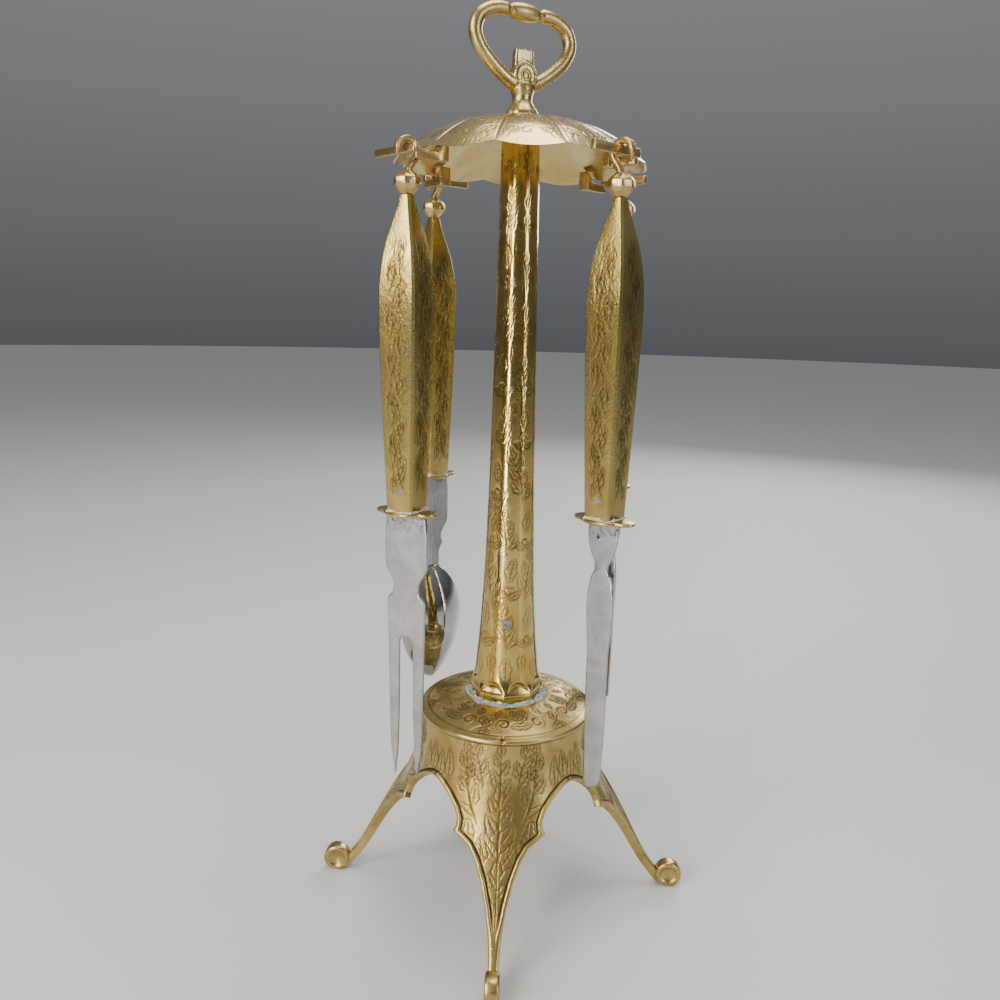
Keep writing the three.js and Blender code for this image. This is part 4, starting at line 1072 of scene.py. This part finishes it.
def makeTool(name):  # the crook, ball, handle, guard and flux of one tool, in the hook's own frame
    hung, degrees, at = toolPlace(name)
    ballTop = 0.15 - tool["crookInner"] - tool["crookNeck"]
    handleLow, handleHigh = boxMm(f"{name}_handle")
    top, length = handleHigh[2] - at[2], handleHigh[2] - handleLow[2]
    seed = 10 * (1 + list(tools).index(name))
    a = np.arange(20) / 20 * turn
    stem = np.stack([np.stack([1.3 * np.cos(a), 1.3 * np.sin(a), 0 * a + h], -1)
                     for h in (top - 6.8, top - 3, ballTop - tool["ballHeight"] + 0.5)])
    parts = [grid(spun(part, hung, at)) for part in (crookSkin(ballTop), ballSkin(ballTop), stem)]
    mesh = makeMesh(f"{name}_hanger_crook", joined(*parts), sharp=34)
    addPiece(mesh.name, mesh, fittingBrass, name, [f"{name}_hanger"])
    handle, cut = handleSkin(top, length, seed)
    mesh = makeMesh(f"{name}_handle_engraved", grid(spun(handle, degrees, at)), {"cut": cut}, 24)
    addPiece(mesh.name, mesh, handleBrass, name, [f"{name}_handle"])
    guardTop = boxMm(f"{name}_guard")[1][2] - at[2]
    mesh = makeMesh(f"{name}_guard_lobed", grid(spun(guardSkin(guardTop), degrees, at)), sharp=40)
    addPiece(mesh.name, mesh, fittingBrass, name, [f"{name}_guard"])
    flux = spun(crustSkin(tool["handleEnd"], guardTop, seed), degrees, at)
    mesh = makeMesh(f"{name}_flux", grid(flux, wrapRows=True))
    addPiece(mesh.name, mesh, fluxCrust, name)


for name in tools:
    makeTool(name)
print("handles, hangers and guards ready")

# CAD nodes that keep their shape and get a finish
finishes = [(f"{name}_rivet", solderGrey) for name in tools]
finishes += [(node, rodSteel) for node in ("tie_rod", "base_nut", "base_washer")]
for node, finish in finishes + [("post_bush", fittingBrass)]:
    frame["nodes"][node].data.materials.clear()
    frame["nodes"][node].data.materials.append(finish)


blade = {"wall": 1.7, "ground": 0.55, "shieldHalf": 10.2, "waistHalf": 6, "shieldLength": 37,
         "tangHalf": 3.4, "tangLength": 33}


def shieldEdge():  # (depth, half width) of the shield and waist under the guard
    h, w, n = blade["shieldHalf"], blade["waistHalf"], blade["shieldLength"]
    return [(0, 0.91 * h), (0.22 * n, h), (0.55 * n, h), (0.64 * n, 0.94 * h),
            (0.725 * n, (h + w) / 2 - 0.4), (0.79 * n, w + 0.3), (0.86 * n, w), (0.935 * n, w + 1)]


def bladeSkin(depth, right, left, crown=0.0, bow=0.0, columns=27):
    # A closed sheet. Each row runs over the front from the right edge to the left and over the back
    # again. Half its thickness is half the wall, falling to nothing at an edge along a quarter circle as
    # wide as the grinding; crown makes the faces swell, and bow carries the row's middle backwards.
    v = (1 - np.cos(np.linspace(0, math.pi, columns))) / 2
    wide = (right - left)[:, None]
    x = right[:, None] - wide * v
    inset = np.clip(np.minimum(v, 1 - v) * wide / blade["ground"], 0, 1)
    swell = 1 - (2 * v - 1) ** 2
    half = (blade["wall"] / 2 - crown + crown * swell) * np.sqrt(1 - (1 - inset) ** 2)
    middle = np.broadcast_to(bow, depth.shape)[:, None] * swell
    z = -depth[:, None] + 0 * x
    front, back = (np.stack([x, middle + side * half, z], -1) for side in (-1, 1))
    return np.concatenate([front, back[:, ::-1]], 1)


def tangSkin():  # the plain tongue that holds a blade in its handle
    depth = np.linspace(-blade["tangLength"], 2, 8)
    half = np.full(8, float(blade["tangHalf"]))
    return bladeSkin(depth, half, -half, 0.1, 0, 9) * [1, 0.94, 1]


def makeBlade(name, node, skins):  # depth is measured down from just under the guard
    degrees, at = toolPlace(name)[1:]
    top = boxMm(f"{name}_guard")[0][2] - 0.3 - at[2]
    mesh = makeMesh(node + "_ground", joined(*(grid(spun(p + [0, 0, top], degrees, at)) for p in skins)))
    weld(mesh, 0.01)
    mesh.set_sharp_from_angle(angle=math.radians(60))
    return addPiece(node + "_ground", mesh, bladeSteel, name, [node])


fork = {"length": 117.5, "crotch": 52.5, "slot": 3.25}


def makeFork():
    # One sheet down to the crotch, then one for each tine; the tines start a little way up inside it.
    length, crotch, slot, h = fork["length"], fork["crotch"], fork["slot"], blade["shieldHalf"]
    outer = shieldEdge() + [(37, 0.9 * h), (crotch, 0.87 * h), (0.72 * length, 0.82 * h),
                            (0.9 * length, 0.74 * h), (length, 0.56 * h)]
    inner = [(crotch - 3, 0.02), (crotch, 0.04), (crotch + 0.45, 1.6), (crotch + 1.5, 2.8),
             (crotch + slot, slot), (0.75 * length, slot + 0.25), (0.9 * length, slot + 0.9),
             (length, 0.53 * h)]
    upper = np.linspace(0, crotch, 64)
    out = smoothLine(outer, upper)
    skins = [bladeSkin(upper, out, -out), tangSkin()]
    bend = crotch + np.array([-2.5, -1, 0, 0.15, 0.45, 0.9, 1.5, 2.3, 3.25])
    lower = np.concatenate([bend, np.linspace(crotch + 4, length, 56)])
    out, inn = smoothLine(outer, lower), np.interp(lower, *np.array(inner).T)
    out = out - 0.05 * (lower < crotch)
    for tine in (bladeSkin(lower, out, inn, 0.12, 0, 17), bladeSkin(lower, -inn, -out, 0.12, 0, 17)):
        hidden = (lower < crotch - 0.01)[:, None]
        tine[..., 1] *= np.where(hidden, 0.97, 1)
        skins.append(tine)
    makeBlade("fork", "fork_blade", skins)


knife = {"length": 118, "crown": 0.3, "eyeOff": 1.4, "eyeDown": 5.5, "eyeRadius": 1.2,
         "eyeSlimness": 1.5}  # the eye is the oval hole under the guard


def makeKnife():
    # Its shield is narrow and its waist high; the back runs further down than the edge.
    length = knife["length"]
    top = [(0, 7.3), (7.8, 7.0), (14, 5.15), (17.5, 3.2), (19.5, 2.6), (21.5, 3.9), (23.4, 5.0),
           (59, 5.2), (length - 7, 4.2)]
    edge = top + [(length - 3.6, 3.6), (length - 1.8, 2.4), (length - 0.4, 0.4), (length, -1.6)]
    back = top + [(length - 1, 3.9), (length - 0.2, 3.2), (length, 2.6)]
    d = np.concatenate([np.linspace(0, length - 8, 100), np.linspace(length - 7, length, 24)])
    flat = bladeSkin(d, smoothLine(edge, d), -smoothLine(back, d), knife["crown"])
    piece = makeBlade("knife", "knife_blade", [flat, tangSkin()])
    # the eye is cut through with a boolean, and the result is kept as the mesh
    degrees, at = toolPlace("knife")[1:]
    top = boxMm("knife_guard")[0][2] - 0.3 - at[2]
    a = np.arange(40) / 40 * turn
    oval = np.stack([knife["eyeRadius"] * np.cos(a) - knife["eyeOff"], 0 * a,
                     knife["eyeRadius"] * knife["eyeSlimness"] * np.sin(a) + top - knife["eyeDown"]], -1)
    mesh = makeMesh("eye", grid(spun(np.stack([oval - [0, 3, 0], oval + [0, 3, 0]]), degrees, at)))
    weld(mesh, 0.001)
    cutter = bpy.data.objects.new("eye", mesh)
    bpy.context.scene.collection.objects.link(cutter)
    hole = piece.modifiers.new("eye", "BOOLEAN")
    hole.object = cutter
    hole.solver = "EXACT"
    result = piece.evaluated_get(bpy.context.evaluated_depsgraph_get())
    finished = bpy.data.meshes.new_from_object(result)
    piece.modifiers.clear()
    piece.data = finished
    bpy.data.objects.remove(cutter)
    finished.set_sharp_from_angle(angle=math.radians(60))


spreader = {"length": 112, "half": 7.8, "endShare": 0.62, "crown": 0.25}


def makeSpreader():
    # Nearly straight sides, then half an ellipse, endShare times as long as half its width.
    length, h, endShare = spreader["length"], spreader["half"], spreader["endShare"]
    start = length - endShare * h
    curve = start + endShare * h * np.sin(np.linspace(0, math.pi / 2, 18))
    d = np.concatenate([np.linspace(0, start, 90)[:-1], curve])
    sides = shieldEdge() + [(37, h), (0.62 * length, h + 0.5), (start, h)]
    body = smoothLine(sides, np.minimum(d, start))
    tip = np.sqrt(np.clip(1 - (np.maximum(d - start, 0) / (endShare * h)) ** 2, 0.004, 1))
    flat = bladeSkin(d, body * tip, -body * tip, spreader["crown"])
    makeBlade("spreader", "spreader_blade", [flat, tangSkin()])


spoon = {"neck": 46, "bowl": 61, "half": 19, "deep": 9, "neckHalf": 4.8}


def makeSpoon():
    # Below the waist the sheet widens by a power of a sine and bellies out: its depth falls with the
    # square of the way across.
    neck, bowl, half, deep = (spoon[k] for k in ("neck", "bowl", "half", "deep"))
    neckHalf = spoon["neckHalf"]
    upper = np.linspace(0, neck, 50)
    s = np.linspace(0, 1, 80)[1:]
    s = 1 - (1 - s) ** 1.35
    wide = np.maximum(half * np.sin(math.pi * np.clip(s, 0, 1) ** 0.9) ** 0.62, 0.8)
    wide[s < 0.5] = np.maximum(wide[s < 0.5], neckHalf)
    d = np.concatenate([upper, neck + bowl * s])
    w = np.concatenate([smoothLine(shieldEdge() + [(37, 5.4), (neck, neckHalf)], upper), wide])
    belly = np.concatenate([0 * upper, deep * np.sin(math.pi * s) ** 0.8])
    makeBlade("spoon", "spoon_bowl", [bladeSkin(d, w, -w, 0, belly, 41), tangSkin()])


makeFork()
makeKnife()
makeSpreader()
makeSpoon()
print("blades ready")


opener = {"turn": 32, "collar": 7.2, "width": 50.4, "height": 43.6, "bar": 2.8, "beadShare": 0.28,
          "toothWidth": 9, "toothTop": 27.2, "toothHalfDepth": 1.9, "hubRadius": 5.5, "hubHeight": 16.8,
          "hubDepth": 6.4, "voxel": 0.36, "foot": boxMm("opener_handle")[0][2]}


def makeOpener():
    # The ring is a tube along half an outline and its mirror image, with a bead between two grooves. The
    # collar and the hub are turned, the tooth is a boxy superellipse, and a remesh fuses all four.
    o = opener
    out, top = o["width"] / 2 - o["bar"], o["height"] - o["bar"]
    side = np.array([(0.05, 12.2), (0.16, 13.2), (0.4, 16), (0.67, 20.4), (0.9, 25.6), (1, 31.2),
                     (0.93, 36.3), (0.72, 39.6), (0.48, top), (0.3, top), (0.0, top)])
    side[:, 0] *= out
    far = arcLength(side)
    at = np.linspace(0, far[-1], 80)
    half = np.stack([smoothLine(np.stack([far, side[:, k]], -1), at) for k in (0, 1)], -1)
    path = np.concatenate([half * [-1, 1], half[::-1][1:]])
    path = np.stack([path[:, 0], 0 * path[:, 0], path[:, 1]], -1)
    beadHalf = o["beadShare"] * out
    near = np.abs(path[:, 0]) * (path[:, 2] > 30) + 99 * (path[:, 2] <= 30)
    groove = 1 - 0.3 * np.exp(-((near - beadHalf - 0.9) / 0.8) ** 2)
    bulge = 1 + 0.28 * np.clip(1 - (near / beadHalf) ** 2, 0, 1)
    thick = o["bar"] * groove * bulge
    ring = sweptTube(path, thick, thick, (0, 1, 0), 40)
    foot = o["collar"]
    collar = [(0.02, 0), (foot - 0.5, 0), (foot, 0.9), (foot - 0.2, 2.6), (foot - 1.1, 4), (4.9, 5.6),
              (4.1, 7.2), (4.2, 9), (5, 11.4), (4.6, 13.6), (3, 15), (0.02, 15.4)]
    a = np.arange(96) / 96 * turn
    line = np.array(collar)
    far = arcLength(line)
    at = np.linspace(0, far[-1], 44)
    line = np.stack([np.interp(at, far, line[:, k]) for k in (0, 1)], -1)
    cup = turnedGrid(line, a)
    flare = (1 - smoothStep(cup[..., 2], 3.5, 6)) * smoothStep(np.hypot(cup[..., 0], cup[..., 1]), 3, 6)
    scallop = 1 - 0.055 * flare * (1 - np.abs(np.cos(4 * a)))[None]
    cup[..., 0] *= scallop
    cup[..., 1] *= scallop
    w = o["hubDepth"] / 2
    rim = o["hubRadius"]
    hub = [(0.02, -w + 1.0), (1.2, -w + 0.95), (1.9, -w + 0.4), (2.6, -w + 0.75), (rim - 1.3, -w + 0.7),
           (rim - 0.7, -w), (rim - 0.1, -w + 0.5)]
    hub = np.array(hub + [(r, -y) for r, y in hub[::-1]])
    disc = turnedGrid(hub, a)
    disc = np.stack([disc[..., 0], disc[..., 2], -disc[..., 1]], -1) + [0, 0, o["hubHeight"]]
    h, t = o["toothWidth"] / 2, o["toothHalfDepth"]
    zTooth = np.linspace(o["hubHeight"] - 1, o["toothTop"], 16)
    half = np.interp(zTooth, [o["hubHeight"], o["toothTop"]], [h + 0.4, h - 0.3])
    section = np.arange(48) / 48 * turn
    sq = [np.sign(f(section)) * np.abs(f(section)) ** 0.3 for f in (np.cos, np.sin)]
    tooth = np.stack([half[:, None] * sq[0], t * sq[1] + 0 * half[:, None],
                      zTooth[:, None] + 0 * section[None]], -1)
    rough = 0.7 * np.abs(np.sin(tooth[-1, :, 0] * 1.7)) + 0.25 * np.sin(tooth[-1, :, 0] * 5)
    tooth[-1, :, 2] -= rough
    skins = joined(grid(ring), grid(cup), grid(disc), grid(tooth))
    points = spun(skins[0], o["turn"], (0, 0, o["foot"]))
    mesh = makeMesh("opener_ring", (points, skins[1], skins[2]))
    piece = addPiece("opener_ring", mesh, fittingBrass, "opener", ["opener_handle"])
    fuse = piece.modifiers.new("fused", "REMESH")
    fuse.mode = "VOXEL"
    fuse.voxel_size = o["voxel"] * mmToMetre
    fuse.use_smooth_shade = True
    soft = piece.modifiers.new("softened", "SMOOTH")
    soft.iterations = 2
    soft.factor = 0.4


makeOpener()
print("opener ready")


def makeStage():  # a round floor: rings of points from far out to the middle
    a = np.arange(96) / 96 * turn
    rows = np.stack([np.stack([r * np.cos(a), r * np.sin(a), 0 * a], -1) for r in (6000.0, 800.0, 0.01)])
    mesh = makeMesh("floor", grid(rows, caps=False))
    material, tree, place = newMaterial("pale_matt_floor")
    fine = addNode(tree, "TexNoise", {"Vector": place, "Scale": perMm(2.5), "Detail": 3.0})
    bump = addNode(tree, "Bump", {"Strength": 0.05, "Distance": 0.0003, "Height": fine})
    shader = addNode(tree, "BsdfPrincipled",
                     {"Base Color": linearHex("#cbcbc9"), "Roughness": 0.6, "Normal": bump})
    addNode(tree, "OutputMaterial", {"Surface": shader})
    floor = bpy.data.objects.new("floor", mesh)
    bpy.context.scene.collection.objects.link(floor)
    mesh.materials.append(material)


def softbox(name, at, aim, size, power, colour="#ffffff"):
    lamp = bpy.data.lights.new(name, "AREA")
    lamp.shape = "RECTANGLE"
    lamp.size, lamp.size_y = size
    lamp.energy = power
    lamp.color = linearHex(colour)[:3]
    box = bpy.data.objects.new(name, lamp)
    bpy.context.scene.collection.objects.link(box)
    box.location = at
    box.rotation_euler = (Vector(aim) - Vector(at)).to_track_quat("-Z", "Y").to_euler()


makeStage()
softbox("key_left", (-0.9, -0.75, 0.85), (0, 0, 0.2), (0.5, 0.9), 15, "#fff8ee")
softbox("strip_left", (-0.42, -0.8, 0.3), (0, 0, 0.22), (0.1, 0.8), 5, "#fffaf2")
softbox("fill_right", (1.1, -0.8, 0.55), (0, 0, 0.2), (0.3, 0.8), 6, "#eef3ff")
softbox("top", (0.1, 0.1, 1.3), (0, 0, 0.2), (0.7, 0.7), 10)
softbox("rim_back", (0.5, 1.2, 0.7), (0, 0, 0.25), (0.6, 0.6), 8)

world = bpy.data.worlds.new("studio_grey")
bpy.context.scene.world = world
world.use_nodes = True
studio = world.node_tree
studio.nodes.clear()
sky = addNode(studio, "TexCoord", {}, "Generated")
height = addNode(studio, "SeparateXYZ", {0: sky}, 2)
rise = addNode(studio, "MapRange", {0: height, 1: -0.05, 2: 0.75})
shade = addNode(studio, "Mix",
                {"data_type": "RGBA", 0: rise, 6: linearHex("#6a6d73"), 7: linearHex("#cfd0d2")}, 2)
back = addNode(studio, "Background", {"Strength": 0.6, "Color": shade})
addNode(studio, "OutputWorld", {"Surface": back})

view = {"at": (11.5, -388, 276.3), "yaw": 2.45, "pitch": 12.2, "roll": 1.4, "lens": 31.34}


def makeCamera():
    # It looks along the yaw and pitch, and is then rolled about that line.
    yaw, pitch, roll = (math.radians(view[k]) for k in ("yaw", "pitch", "roll"))
    level = math.cos(pitch)
    ahead = np.array([-math.sin(yaw) * level, math.cos(yaw) * level, -math.sin(pitch)])
    right = np.array([math.cos(yaw), math.sin(yaw), 0])
    up = np.cross(right, ahead)
    across = right * math.cos(roll) + up * math.sin(roll)
    upwards = np.cross(across, ahead)
    lens = bpy.data.cameras.new("camera")
    lens.sensor_width, lens.lens, lens.clip_start = 36, view["lens"], 0.01
    camera = bpy.data.objects.new("camera", lens)
    bpy.context.scene.collection.objects.link(camera)
    axes = np.stack([across, upwards, -ahead], 1)
    place = Matrix.Translation(np.array(view["at"]) * mmToMetre)
    camera.matrix_world = place @ Matrix(axes.tolist()).to_4x4()
    bpy.context.scene.camera = camera


makeCamera()
print("floor, lights and camera ready")
